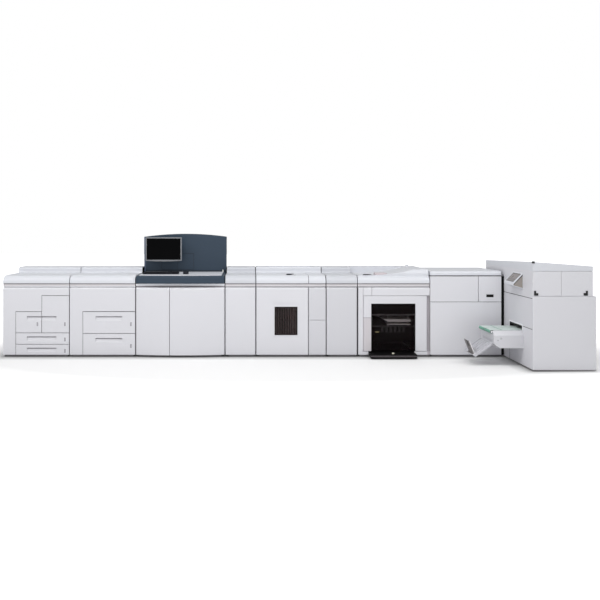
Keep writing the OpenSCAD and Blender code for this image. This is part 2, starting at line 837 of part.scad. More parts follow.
stacker_b_end = x_g - seam;
door_f_x0 = x_f + column_f + door_gap;
door_f_x1 = stacker_b_end - strip_f - door_gap;
door_f_z0 = cart_h + door_gap;
window_b_x0 = door_f_x0 + stile_f;
window_b_x1 = window_b_x0 + window_b_w;
hinge_f_x = door_f_x1 - hinge_inset;
flush_roll = 3;  // small radius at the top of the large door
room_b_x0 = x_f + wall;
room_b_x1 = stacker_b_end - wall;
cart_side = 6;  // half the width by which the cart exceeds the window
cart_shift = 22;  // distance of the cart left of the window's middle
cart_x0 = window_b_x0 - cart_side - cart_shift;
cart_x1 = window_b_x1 + cart_side - cart_shift;
cart_lane = 6;  // gap between the cart and the cabinet round it
strip_y = 20;  // setback of the shadow strip
pull_w = 14;  // width of the oval pull in the fixed column
pull_h = 60;  // height of that pull
pull_z = 543;  // height of its middle
stile_seam_z = 467;  // height of the seam in the door's left stile
fascia_in = 7;  // distance of the seam in the fascia from the window's edge
fascia_split = window_b_x0 + fascia_in;

module stacker_b_cabinet() {
    place() color(panel_white) {
        difference() {
            union() {
                along_x(x_f, stacker_b_end) cabinet_profile(door_room);
                along_x(x_f, x_f + column_f)
                    rolled_profile(0, door_room + cut, toe_height, panel_top, rolled_edge);
                block(x_f, cart_x0 - cart_lane, 0, door_room + cut, toe_height, cart_h);
                block(cart_x1 + cart_lane, stacker_b_end, 0, door_room + cut, toe_height, cart_h);
                block(door_f_x1 + door_gap, stacker_b_end, strip_y, door_room + cut,
                    toe_height, large_door_top);
            }
            block(room_b_x0, room_b_x1, door_room - cut, room_depth, door_f_z0, large_door_top - wall);
            block(cart_x0 - cart_lane, cart_x1 + cart_lane, -cut, room_depth + cart_lane,
                toe_height - cut, door_f_z0 + cut);
            along_y(-cut, groove_d) pull_outline();
        }
        bottom_pin(hinge_f_x, cart_h);
    }
}

// Upright oval of the pull in the fixed column
module pull_outline() {
    reach = (pull_h - pull_w) / 2;
    translate([x_f + column_f - 2 * pull_w, pull_z - reach]) square([pull_w, 2 * reach]);
    for (side = [-1, 1]) translate([x_f + column_f - 1.5 * pull_w, pull_z + side * reach]) circle(pull_w / 2);
}

module stacker_b_door() {
    place() color(panel_white) difference() {
        door_leaf(door_f_x0, door_f_x1, door_f_z0, large_door_top, flush_roll, hinge_f_x);
        block(window_b_x0, window_b_x1, -cut, door_t + cut, door_f_z0 - cut, window_b_top);
        block(window_b_x0 - glass_lap, window_b_x1 + glass_lap, glass_y, door_t + cut,
            door_f_z0 - cut, window_b_top + glass_lap);
        block(door_f_x0 - cut, window_b_x0 + cut, -cut, groove_d, stile_seam_z, stile_seam_z + groove_w);
    }
}

module stacker_b_window() {
    edge = glass_lap - glass_fit;
    place() color(glass_dark)
        block(window_b_x0 - edge, window_b_x1 + edge, glass_y, glass_y + glass_t,
            door_f_z0, window_b_top + edge);
}

module stacker_b_fascia() {
    z0 = large_door_top + door_gap;
    place() color(panel_white) {
        along_x(x_f + column_f + groove_w, fascia_split - groove_w / 2)
            rolled_profile(0, door_room, z0, panel_top, rolled_edge);
        along_x(fascia_split + groove_w / 2, stacker_b_end)
            rolled_profile(0, door_room, z0, panel_top, rolled_edge);
        top_pin(hinge_f_x, z0);
    }
}

hood_b_rise = 72;  // rise of the high right part of this hood over its front lip
ramp_end = 156;  // distance of the ramp's upper end from the module's right side
ramp_x0 = x_f + 120;  // place along the line of the ramp's lowest point
ramp_x1 = stacker_b_end - ramp_end;
ramp_front_r = 60;  // radius of the front edge of the high part
ramp_back = 640;  // depth of the wall behind the sloping tray
ramp_run = ramp_x1 - ramp_x0;
ramp_r = (ramp_run * ramp_run + hood_b_rise * hood_b_rise) / (2 * hood_b_rise);
box_x = x_f + 219;  // left edge of the small control box
box_w = 140;  // width of that box
box_y = 70;  // depth of its front edge
box_d = 110;  // its own depth
box_h = 26;  // its height
slot_x = x_f + 70;  // left edge of the dark slot beside it
slot_w = 110;  // width of that slot
knob_x = stacker_b_end - 97;  // place of the black knob
knob_y = line_depth - 60;  // its depth
knob_r = 20;  // its radius
knob_h = 16;  // its height

module stacker_b_hood() {
    top = hood_low_z + hood_b_rise;
    place() color(hood_white) {
        difference() {
            union() {
                along_x(x_f, stacker_b_end) rolled_profile(0, line_depth, hood_z, hood_low_z, hood_edge);
                along_x(x_f, stacker_b_end)
                    rolled_profile(hood_edge / 2, line_depth, hood_low_z - ramp_front_r, top, ramp_front_r);
            }
            along_y(-cut, ramp_back) intersection() {
                translate([ramp_x0, hood_low_z + ramp_r]) circle(ramp_r, $fn = 256);
                translate([ramp_x0, hood_low_z]) square([ramp_run + cut, hood_b_rise + cut]);
            }
            block(x_f - cut, ramp_x0 + cut, -cut, ramp_back, hood_low_z, top + cut);
            block(slot_x, slot_x + slot_w, box_y + latch_l / 2, box_y + latch_l,
                hood_low_z - latch_d, hood_low_z + cut);
        }
        along_x(box_x, box_x + box_w)
            rolled_profile(box_y, box_y + box_d, hood_low_z - cut, hood_low_z + box_h, box_h / 2);
        translate([knob_x, knob_y, top - cut]) cylinder(r = knob_r, h = knob_h + cut);
    }
}

guide_y = 240;  // depth of the bars that carry the paper guides
bar_t = 16;  // thickness of those bars
guide_x0 = window_b_x0 + 172;  // left end of the upper guide
guide_x1 = window_b_x1 - 24;  // right end of both guides
guide_z = 402;  // height of the upper guide
guide_l = 300;  // length of the guides, from the front to the rear
guide_lip = 30;  // height of the upper guide's upturned front
guide_nose = 70;  // width of its sloping left end
guide_drop = 36;  // drop from the upper guide to the lower one
guide_t = 10;  // thickness of the lower guide
top_bar_lift = 64;  // height of the upper bar over the upper guide
comb_z = 322;  // height of the comb's bar
tooth_w = 24;  // width of a tooth of the comb
tooth_h = 66;  // height of a tooth
teeth = 6;  // number of teeth

module stacker_b_guides() {
    top_bar_z = guide_z + top_bar_lift;
    pitch = (guide_x1 - guide_x0 - guide_nose) / (teeth - 1);
    low_z = guide_z - guide_drop;
    place() color(metal_grey) {
        for (z = [comb_z, top_bar_z])
            block(room_b_x0, room_b_x1, guide_y, guide_y + bar_t, z, z + bar_t);
        for (x = [guide_x0 + guide_nose, guide_x1 - bar_t])
            block(x, x + bar_t, guide_y, guide_y + bar_t, comb_z, top_bar_z + bar_t);
        along_y(guide_y - guide_l / 3, guide_y + guide_l * 2 / 3) polygon([
            [guide_x0, guide_z + guide_lip],
            [guide_x0 + guide_nose, guide_z],
            [guide_x1, guide_z],
            [guide_x1, guide_z + guide_lip]
        ]);
        block(guide_x0 + guide_nose, guide_x1, guide_y - guide_l / 3, guide_y + guide_l / 2,
            low_z, low_z + guide_t);
        for (i = [0 : teeth - 1])
            block(guide_x0 + i * pitch, guide_x0 + i * pitch + tooth_w, guide_y, guide_y + bar_t / 2,
                comb_z - tooth_h, comb_z + cut);
    }
}

deck_z0 = 30;  // height of the cart's deck above the floor
bar_z0 = 9;  // height of the underside of its front bar
bar_d = 60;  // depth of its front bar
caster_r = 18;  // radius of a caster wheel
caster_w = 26;  // width of a caster wheel
caster_in = 70;  // distance of a caster from the cart's edges
bar_edge = 14;  // radius of the front bar's upper edge
dock_gap = 0.3;  // gap between the docked cart and the rear of its lane
stud_r = 14;  // radius of the lock stud on the front bar
stud_h = 10;  // height of that stud

module stacker_b_cart() {
    bar_y = -cart_reach + bar_d;
    top = cart_h - stud_h;
    place() color(seal_dark) {
        along_x(cart_x0, cart_x1) rolled_profile(-cart_reach, bar_y, bar_z0, top, bar_edge);
        block(cart_x0, cart_x1, bar_y - cut, room_depth + cart_lane - dock_gap, deck_z0, top);
        translate([(cart_x0 + cart_x1) / 2, bar_y, top - cut]) cylinder(r = stud_r, h = stud_h + cut);
        for (x = [cart_x0 + caster_in, cart_x1 - caster_in - caster_w],
             y = [bar_y + caster_in, room_depth - caster_in]) {
            translate([x, y, caster_r]) rotate([0, 90, 0]) cylinder(r = caster_r, h = caster_w);
            block(x + caster_w / 4, x + caster_w * 3 / 4, y - caster_r / 2, y + caster_r / 2,
                caster_r, deck_z0 + cut);
        }
    }
}

// ---------------------------------------------------------------- interface module

panel_split = 6;  // gap between two of its panels
grip_w = 88;  // width of the dark grip recess in the right upper panel
grip_h = 34;  // height of that recess
grip_d = 14;  // its depth
grip_z = 716;  // height of its lower edge
grip_x = x_g + 669;  // its left edge
dome_gap = 12;  // height and depth of the shadow gap under the dome
dome_edge = 34;  // radius of the dome's long edges

module interface_cabinet() {
    place() color(panel_white)
        block(x_g, line_end, panel_t, line_depth, toe_height, interface_top);
}

module interface_panels() {
    split_x = x_g + interface_left_w;
    half = panel_split / 2;
    place() color(panel_white) difference() {
        union() {
            block(x_g, split_x - half, 0, panel_t, interface_split + half, interface_top);
            block(split_x + half, line_end, 0, panel_t, interface_split + half, interface_top);
            block(x_g, line_end, 0, panel_t, toe_height, interface_split - half);
        }
        block(grip_x, grip_x + grip_w, -cut, grip_d, grip_z, grip_z + grip_h);
    }
}

module interface_hood() {
    top = interface_top + dome_h;
    place() color(hood_white) along_x(x_g, line_end) {
        translate([dome_gap, interface_top]) square([line_depth - 2 * dome_gap, dome_gap + cut]);
        intersection() {
            translate([0, interface_top + dome_gap]) square([line_depth, dome_h - dome_gap]);
            union() {
                translate([0, interface_top]) square([line_depth, dome_h - dome_edge]);
                translate([dome_edge, interface_top]) square([line_depth - 2 * dome_edge, dome_h]);
                for (y = [dome_edge, line_depth - dome_edge])
                    translate([y, top - dome_edge]) circle(dome_edge);
            }
        }
    }
}

// ---------------------------------------------------------------- booklet maker

booklet_end = x_h + booklet_w;
booklet_face = -booklet_reach + cover_t;
booklet_toe = 12;  // height of the booklet maker's underside
latch_t = 6;  // thickness of the corner latches
latch_bar = 19;  // width of their upright legs
latch_foot_l = 43;  // length of their feet
latch_foot_h = 25;  // height of their feet
latch_in_l = 14;  // distance of the left latch from the left edge
latch_in_r = 58;  // distance of the right latch from the right edge
cover_gap = 3;  // gap round the booklet maker's doors
cheek_t = 8;  // thickness of the conveyor's side cheeks
guard_w = 45;  // width of the sloping guard in front of the belts
slot_in = 4;  // distance of the belt slot's ends from the cheeks' outer sides
front_y = -conveyor_front;
back_y = front_y + conveyor_w;
side_y0 = front_y + guard_w;
side_y1 = back_y - cheek_t;
slot_y0 = side_y0 - cheek_t + slot_in;
slot_y1 = back_y - slot_in;
tunnel_l = 240;  // length of the belt slot inside the body
tunnel_room = 12;  // free room round the belts inside the body
roller_z = belt_top - belt_t - roller_r;
tunnel_z0 = roller_z - roller_r - belt_t - tunnel_room;
side_seam_z = 780;  // height of the upper seam in the left side
side_seam_w = 7;  // width of the seams in the left side
slot_top = belt_top + slot_h;

module booklet_cabinet() {
    place() color(panel_white) difference() {
        block(x_h, booklet_end, booklet_face, booklet_rear, booklet_toe, lid_z);
        block(x_h - cut, x_h + tunnel_l, slot_y0, slot_y1, tunnel_z0, slot_top);
        block(x_h - cut, x_h + groove_d, booklet_face - cut, booklet_rear - wall,
            side_seam_z, side_seam_z + side_seam_w);
        block(x_h - cut, x_h + groove_d, booklet_face - cut, slot_y0 + cut,
            slot_top - side_seam_w, slot_top);
        block(x_h - cut, x_h + groove_d, slot_y1 - cut, slot_y1 + side_seam_w,
            booklet_toe - cut, slot_top - side_seam_w);
    }
}

lid_knob_r = 15;  // radius of the knob on the lid
lid_knob_h = 8;  // height of that knob over the lid's edge
lid_knob_foot = 18;  // depth to which it reaches below that edge
lid_knob_in = 10;  // distance of its middle from the lid's front left corner
lid_thin = 4;  // thickness of the lid at its rear right corner

module booklet_lid() {
    front = booklet_face - cover_t + latch_t;
    depth = booklet_rear - front;
    side_fall = atan2(lid_left_h - lid_right_h, booklet_w);
    rear_fall = atan2((lid_right_h - lid_thin) * cos(side_fall), depth);
    place() color(hood_white) {
        difference() {
            block(x_h, booklet_end, front, booklet_rear, lid_z, lid_z + lid_left_h + cut);
            translate([x_h, front, lid_z + lid_left_h]) rotate([-rear_fall, side_fall, 0])
                block(-lid_left_h, booklet_w + lid_left_h, -lid_left_h, depth + lid_left_h,
                    0, 2 * lid_left_h);
        }
        translate([x_h + lid_knob_in, front + lid_knob_in, lid_z + lid_left_h - lid_knob_foot])
            cylinder(r = lid_knob_r, h = lid_knob_foot + lid_knob_h);
    }
}

upper_door_y = -booklet_reach + latch_t;

module booklet_upper_doors() {
    z0 = cover_top + cover_gap;
    z1 = lid_z - cover_gap;
    place() color(panel_white) {
        block(x_h, x_h + upper_door_w - cover_gap / 2, upper_door_y, booklet_face, z0, z1);
        block(x_h + upper_door_w + cover_gap / 2, booklet_end, upper_door_y, booklet_face, z0, z1);
    }
}

cover_edge = 8;  // radius of the cover's upright edges
cover_flange = 60;  // depth of the cover's right flange
flange_t = 12;  // thickness of that flange

module booklet_front_cover() {
    place() color(panel_white) along_z(booklet_toe, cover_top) {
        round_rect(x_h, x_end, -booklet_reach, booklet_face, cover_edge);
        translate([x_end - flange_t, booklet_face - cover_edge]) square([flange_t, cover_flange]);
    }
}

// Corner latch: an L that opens towards the door's middle
module corner_latch() {
    block(0, latch_bar, -booklet_reach, upper_door_y, 0, latch_leg);
    block(0, latch_foot_l, -booklet_reach, upper_door_y, 0, latch_foot_h);
}

module corner_latches() {
    place() color(seal_dark) translate([0, 0, cover_top + cover_gap + latch_t]) {
        translate([x_h + latch_in_l, 0, 0]) corner_latch();
        translate([booklet_end - latch_in_r, 0, 0]) mirror([1, 0, 0]) corner_latch();
    }
}

touch_y1 = -284;  // rear side of the touch screen housing
touch_y0 = touch_y1 - touch_w;
touch_top = 1045;  // height of the upper edge of the touch screen housing
touch_drop = 115;  // drop of its face from the body to its lip
touch_lip = 25;  // height of its lip
touch_foot = 38;  // drop of its underside back to the body
touch_frame = 22;  // width of the frame round the touch screen
touch_l = sqrt(touch_reach * touch_reach + touch_drop * touch_drop);
touch_tilt = atan2(touch_drop, touch_reach);

// Places children in the plane of the touch screen: -X runs down the slope, +Z stands on it
module on_touch_slope() {
    translate([x_h, 0, touch_top]) rotate([0, -touch_tilt, 0]) children();
}

module touch_screen_housing() {
    lip_z = touch_top - touch_drop - touch_lip;
    place() color(hood_white) difference() {
        along_y(touch_y0, touch_y1) polygon([
            [x_h, touch_top],
            [x_h - touch_reach, touch_top - touch_drop],
            [x_h - touch_reach, lip_z],
            [x_h, lip_z - touch_foot]
        ]);
        on_touch_slope() block(-touch_l + touch_frame, -touch_frame, touch_y0 + touch_frame,
            touch_y1 - touch_frame, -screen_t, cut);
    }
}

module touch_screen() {
    edge = touch_frame + screen_fit;
    place() color([0.55, 0.52, 0.52]) on_touch_slope()
        block(-touch_l + edge, -edge, touch_y0 + edge, touch_y1 - edge, -screen_t, -cut / 2);
}

// ---------------------------------------------------------------- delivery belt

cheek_z0 = 210;  // height of the cheeks' lower edge
chamfer_w = 66;  // width of the chamfer at their lower left corner
chamfer_h = 50;  // height of that chamfer
guard_h = 45;  // height of the sloping guard in front of the belts
nose_out = 30;  // reach of the belts past the cheeks' left edge
shaft_r = 6;  // radius of the roller shafts
belt_gap = 0.3;  // clearance between a roller and its belt
belt_side = 4;  // clearance between the belts and the cheeks
bed_drop = 3;  // distance of the sliding bed's underside below the rollers' axes
bolt_t = 3;  // height of the bolt heads
bolts = [[80, 107, 9], [46, 86, 5]];  // bolt heads: place from the cheek's lower left corner, radius
cheek_x0 = x_h - conveyor_reach;
belt_wrap = roller_r + belt_gap + belt_t;
nose_x = cheek_x0 - nose_out + belt_wrap;
tail_x = x_h + tunnel_l - belt_wrap - tunnel_room;
cheek_low = 8;  // height of the belts over the cheeks
cheek_top = belt_top - cheek_low;
nose_in = 3;  // distance of the cheeks' round nose inside the roller's outline
nose_r = roller_r - nose_in;

// Outline of the conveyor's side in the front view, up to a height
module side_outline(top) {
    polygon([
        [cheek_x0 + chamfer_w, cheek_z0],
        [x_h, cheek_z0],
        [x_h, top],
        [cheek_x0, top],
        [cheek_x0, cheek_z0 + chamfer_h]
    ]);
}

// Outline of a cheek in the front view, with its nose for the roller
module cheek_outline() {
    side_outline(cheek_top);
    translate([nose_x, roller_z - nose_r]) square([cheek_x0 - nose_x + cut, 2 * nose_r]);
    translate([nose_x, roller_z]) circle(nose_r);
}

module conveyor_frame() {
    well_top = roller_z - belt_wrap - belt_side;
    place() color(panel_white) {
        for (y = [side_y0 - cheek_t, side_y1])
            difference() {
                along_y(y, y + cheek_t) cheek_outline();
                translate([nose_x, y - cut, roller_z]) rotate([-90, 0, 0])
                    cylinder(r = shaft_r + screen_fit, h = cheek_t + 2 * cut);
            }
        intersection() {
            along_y(front_y, side_y0 - cut) side_outline(cheek_top);
            along_x(cheek_x0 - cut, x_h + cut) polygon([
                [front_y - cut, cheek_z0 - cut],
                [side_y0, cheek_z0 - cut],
                [side_y0, cheek_top - cut],
                [side_y0 - cheek_t, cheek_top - cut],
                [front_y, cheek_top - guard_h],
                [front_y - cut, cheek_top - guard_h]
            ]);
        }
        along_y(side_y0 - cut, side_y1 + cut) side_outline(well_top);
        block(cheek_x0 + cheek_t, x_h, side_y0 - cut, side_y1 + cut,
            roller_z - bed_drop, roller_z + roller_r);
        for (bolt = bolts)
            translate([cheek_x0 + bolt[0], front_y + cut, cheek_z0 + bolt[1]]) rotate([90, 0, 0])
                cylinder(r = bolt[2], h = bolt_t + cut);
    }
}

// Roller between the cheeks, with a shaft that reaches from y0 to y1
module roller(x, y0, y1) {
    inner0 = side_y0 + belt_side / 2;
    inner1 = side_y1 - belt_side / 2;
    translate([x, 0, roller_z]) rotate([-90, 0, 0]) {
        translate([0, 0, inner0]) cylinder(r = roller_r, h = inner1 - inner0);
        translate([0, 0, y0]) cylinder(r = shaft_r, h = y1 - y0);
    }
}

module conveyor_rollers() {
    place() color(metal_grey) {
        roller(nose_x, side_y0 - cheek_t - bolt_t, side_y1 + cheek_t - slot_in);
        roller(tail_x, slot_y0, slot_y1);
    }
}

// Outline of a belt loop at distance r from the rollers' axes
module loop_outline(r) {
    translate([nose_x, roller_z - r]) square([tail_x - nose_x, 2 * r]);
    for (x = [nose_x, tail_x]) translate([x, roller_z]) circle(r);
}

module conveyor_belts() {
    y0 = side_y0 + belt_side;
    y1 = side_y1 - belt_side;
    width = (y1 - y0 - belt_split) / 2;
    place() color(belt_mint) for (y = [y0, y1 - width])
        along_y(y, y + width) difference() {
            loop_outline(belt_wrap);
            loop_outline(roller_r + belt_gap);
        }
}

tray_x = cheek_x0 - tray_t;  // place of the tray's upper end, at the conveyor's end
tray_over = 12;  // height of its upper end over the chamfer
tray_z = cheek_z0 + chamfer_h + tray_over;
tray_in = 20;  // distance of the tray from the conveyor's front side
tray_y0 = front_y + tray_in;
tray_y1 = tray_y0 + tray_w;
tray_flange = 20;  // height of the tray's front edge
rib_w = 8;  // width of a rib on the tray
rib_h = 3;  // height of a rib
rib_end = 18;  // free length of the tray above its ribs
rib_foot = 36;  // free length of the tray below its ribs
ribs = 4;  // number of ribs
hook_h = 30;  // height of the lip that hangs on the conveyor

// Places children on the tray: -X runs down its slope, +Z stands on it
module on_tray() {
    translate([tray_x, 0, tray_z]) rotate([0, -tray_slope, 0]) children();
}

module delivery_tray() {
    pitch = (tray_w - tray_t) / (ribs + 1);
    place() color(panel_white) {
        block(tray_x, tray_x + tray_t, tray_y0 + tray_t, tray_y1 - tray_t, tray_z - tray_t, tray_z + hook_h);
        on_tray() {
            block(-tray_l, cut, tray_y0 + cut, tray_y1 - cut, -tray_t, 0);
            block(-tray_l, -tray_flange, tray_y0, tray_y0 + tray_t, -tray_flange, tray_flange / 2);
            block(-tray_l, -tray_flange, tray_y1 - tray_t, tray_y1, -tray_flange, tray_flange / 2);
            for (i = [1 : ribs])
                block(-tray_l + rib_foot, -rib_end, tray_y0 + i * pitch, tray_y0 + i * pitch + rib_w,
                    -cut, rib_h);
        }
    }
}

stop_in = 48;  // distance of the end stop from the tray's front side
stop_w = 184;  // width of the end stop
stop_back = 28;  // distance of the end stop from the tray's end
stop_turn = 14;  // angle by which it stands steeper than square to the tray
stop_t = 7;  // thickness of the end stop
stop_foot_t = 3;  // thickness of its foot
stop_foot_l = 24;  // length of its foot
stop_notch = 60;  // width of its notch

module tray_end_stop() {
    y0 = tray_y0 + stop_in;
    y1 = y0 + stop_w;
    mid = (y0 + y1) / 2;
    place() color(metal_grey) on_tray() translate([-tray_l + stop_back, 0, 0]) {
        block(-stop_foot_l, stop_foot_t, y0, y1, 0, stop_foot_t);
        translate([0, 0, cut]) rotate([0, stop_turn, 0]) difference() {
            block(-stop_t, 0, y0, y1, 0, stop_h);
            block(-stop_t - cut, cut, mid - stop_notch / 2, mid + stop_notch / 2, stop_h / 2, stop_h + cut);
        }
    }
}

// ---------------------------------------------------------------- seals and plinths

seal_in = 10;  // setback of a seal behind the cabinet faces
seal_low = 14;  // distance of a seal below the hoods' flat tops
docking_y = 5;  // setback of the docking strip behind the front plane

module docking_seals() {
    place() color(seal_dark) {
        for (x = [x_b, x_m, x_c, x_d, x_e, x_f, x_g])
            block(x - seam, x, door_room + seal_in, line_depth - seal_in, toe_height, hood_low_z - seal_low);
        for (x = [x_b, x_m, x_c, x_d, x_e])
            block(x - seam, x, hood_step_y + seal_in, line_depth - seal_in,
                hood_low_z - seal_low - cut, hood_low_z + hood_a_step - seal_low);
        block(line_end, x_h, docking_y, booklet_rear - seal_in, toe_height, interface_top);
    }
}

foot_r = 24;  // radius of a levelling foot
foot_h = 12;  // height of a levelling foot
foot_in = 60;  // distance of a foot from the plinth's ends
plinth_in = 15;  // setback of a plinth from the cabinet's sides
toe_board_y = 14;  // setback of the toe boards behind the front plane
toe_board_z = 5;  // height of their lower edges
toe_board_drop = 8;  // distance of their upper edges below the cabinets

// Toe board before a plinth
module toe_board(x0, x1) {
    block(x0, x1, toe_board_y, toe_setback + cut, toe_board_z, toe_height - toe_board_drop);
}

// Plinth on four levelling feet
module plinth(x0, x1, y0, y1, top) {
    block(x0, x1, y0, y1, foot_h, top);
    for (x = [x0 + foot_in, x1 - foot_in], y = [y0 + foot_in, y1 - foot_in])
        translate([x, y, 0]) cylinder(r = foot_r, h = foot_h + cut);
}

// Plinth skid on two levelling feet
module skid(x0, x1, y0, y1, top) {
    block(x0, x1, y0, y1, foot_h, top);
    for (y = [y0 + foot_in, y1 - foot_in])
        translate([(x0 + x1) / 2, y, 0]) cylinder(r = foot_r, h = foot_h + cut);
}

module line_plinth() {
    y1 = line_depth - toe_setback;
    spans = [[x_a, x_b], [x_b, x_m], [x_m, x_c], [x_c, x_d], [x_d, x_e], [x_e, x_f], [x_g, x_h]];
    hinges = [x_m + hinge_inset, engine_end - hinge_inset, x_c + hinge_inset, x_d + hinge_inset,
        x_e + hinge_inset];
    skids = [[x_f + plinth_in, cart_x0 - cart_lane], [cart_x1 + cart_lane, stacker_b_end - plinth_in]];
    place() color(seal_dark) {
        for (span = spans) {
            plinth(span[0] + plinth_in, span[1] - seam - plinth_in, toe_setback, y1, toe_height);
            toe_board(span[0] + plinth_in, span[1] - seam - plinth_in);
        }
        for (span = skids) {
            skid(span[0], span[1], toe_setback, y1, toe_height);
            toe_board(span[0], span[1]);
        }
        for (x = hinges) hinge_bracket(x);
    }
}

booklet_foot_h = 5;  // height of the booklet maker's feet

module booklet_plinth() {
    y0 = booklet_face + plinth_in;
    y1 = booklet_rear - toe_setback;
    place() color(seal_dark) {
        block(x_h + plinth_in, booklet_end - plinth_in, y0, y1, booklet_foot_h, booklet_toe);
        for (x = [x_h + foot_in, booklet_end - foot_in], y = [y0 + foot_in, y1 - foot_in])
            translate([x, y, 0]) cylinder(r = foot_r, h = booklet_foot_h + cut);
    }
}

// ---------------------------------------------------------------- drawers as nodes

module feeder_a_drawer_left() { drawer(drawer_left); }
module feeder_a_drawer_tall() { drawer(drawer_tall); }
module feeder_a_drawer_middle() { drawer(drawer_middle); }
module feeder_a_drawer_bottom() { drawer(drawer_bottom); }
module feeder_b_drawer_upper() { drawer(drawer_upper); }
module feeder_b_drawer_lower() { drawer(drawer_lower); }

feeder_a_cabinet();
feeder_a_drawer_left();
feeder_a_drawer_tall();
feeder_a_drawer_middle();
feeder_a_drawer_bottom();
feeder_b_cabinet();
feeder_b_drawer_upper();
feeder_b_drawer_lower();
feeder_hoods();
engine_cabinet();
engine_door_left();
engine_door_right();
console_ledge();
work_surface();
console_panel();
monitor_housing();
monitor_screen();
keyboard();
mouse();
transport_cabinets();
transport_a_door();
transport_b_door();
transport_hoods();
stacker_a_cabinet();
stacker_a_door();
stacker_a_window();
stacker_a_side_panels();
stacker_a_hood();
stacker_b_cabinet();
stacker_b_door();
stacker_b_window();
stacker_b_fascia();
stacker_b_hood();
stacker_b_guides();
stacker_b_cart();
interface_cabinet();
interface_panels();
interface_hood();
booklet_cabinet();
booklet_lid();
booklet_upper_doors();
booklet_front_cover();
corner_latches();
touch_screen_housing();
touch_screen();
conveyor_frame();
conveyor_rollers();
conveyor_belts();
delivery_tray();
tray_end_stop();
docking_seals();
line_plinth();
booklet_plinth();
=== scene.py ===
"""Looks of the digital production printer line over its CAD frame. Lengths are in metres."""
import json
import math

import bmesh
import bpy
from mathutils import Matrix, Vector


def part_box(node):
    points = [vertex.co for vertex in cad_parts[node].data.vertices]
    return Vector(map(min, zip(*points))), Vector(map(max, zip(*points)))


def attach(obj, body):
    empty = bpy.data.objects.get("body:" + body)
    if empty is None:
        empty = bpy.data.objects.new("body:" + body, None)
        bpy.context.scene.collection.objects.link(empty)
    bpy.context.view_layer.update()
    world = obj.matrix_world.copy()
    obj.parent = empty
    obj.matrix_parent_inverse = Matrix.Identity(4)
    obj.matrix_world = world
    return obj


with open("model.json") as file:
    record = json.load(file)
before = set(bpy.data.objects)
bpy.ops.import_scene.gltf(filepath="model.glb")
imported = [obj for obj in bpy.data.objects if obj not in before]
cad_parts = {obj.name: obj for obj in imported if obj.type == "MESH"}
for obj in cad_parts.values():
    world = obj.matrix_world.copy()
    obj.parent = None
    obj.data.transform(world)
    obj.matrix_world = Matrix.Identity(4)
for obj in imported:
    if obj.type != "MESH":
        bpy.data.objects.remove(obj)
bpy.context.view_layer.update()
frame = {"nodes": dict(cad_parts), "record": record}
nodes = frame["nodes"]
physics = frame["record"]["physics"]
openings = {o["name"]: [Vector(corner) for corner in o["box_m"]] for o in physics["openings"]}

LINE = "line"
MM = 0.001
ABOVE = 2.0      # a height over every piece
IN_FRONT = -3.0  # a depth before every piece


def low(node):
    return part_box(node)[0]


def high(node):
    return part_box(node)[1]


def surface(node, start, way):
    """Where a ray first meets a CAD node."""
    return nodes[node].ray_cast(Vector(start), Vector(way))[1]


# -------- colours


def srgb(r, g, b):
    """Linear colour of an 8-bit screen colour."""
    def linear(v):
        v /= 255
        return v / 12.92 if v <= 0.04045 else ((v + 0.055) / 1.055) ** 2.4
    return (linear(r), linear(g), linear(b), 1.0)


def shade(colour, factor):
    """The colour, lighter or darker by a factor."""
    return tuple(min(1.0, c * factor) for c in colour[:3]) + (1.0,)


PANEL = srgb(212, 212, 217)
HOOD = srgb(208, 210, 216)
SEAM = srgb(36, 34, 38)
# Painted shade along the foot of the booklet maker, where its bottom edge meets the floor
FOOT_SHADE = srgb(112, 108, 112)
REAR_LINE = srgb(110, 106, 110)
CONSOLE = srgb(50, 63, 77)
GRAPHITE = srgb(52, 50, 52)
RUBBER = srgb(12, 12, 13)

# -------- node trees and materials


class Tree:
    """The node tree of a material or world, built from nothing."""

    def __init__(self, owner):
        owner.use_nodes = True
        self.tree = owner.node_tree
        self.tree.nodes.clear()

    def put(self, node, socket, value):
        """Sets an input of a node, or links it to another node's output."""
        if isinstance(value, bpy.types.NodeSocket):
            self.tree.links.new(value, node.inputs[socket])
        else:
            node.inputs[socket].default_value = value

    def node(self, kind, inputs=None, **settings):
        made = self.tree.nodes.new("ShaderNode" + kind)
        for key, value in settings.items():
            setattr(made, key, value)
        for socket, value in (inputs or {}).items():
            self.put(made, socket, value)
        return made

    def math(self, operation, first, second):
        return self.node("Math", {0: first, 1: second}, operation=operation).outputs[0]

    def vector(self, operation, first, second=(0, 0, 0)):
        made = self.node("VectorMath", {0: first, 1: second}, operation=operation)
        return made.outputs["Value" if operation == "LENGTH" else "Vector"]

    def ramp(self, value, low_in, high_in, low_out, high_out):
        """Maps one stretch of a value onto another."""
        ends = {"From Min": low_in, "From Max": high_in, "To Min": low_out, "To Max": high_out}
        return self.node("MapRange", {"Value": value, **ends}).outputs[0]


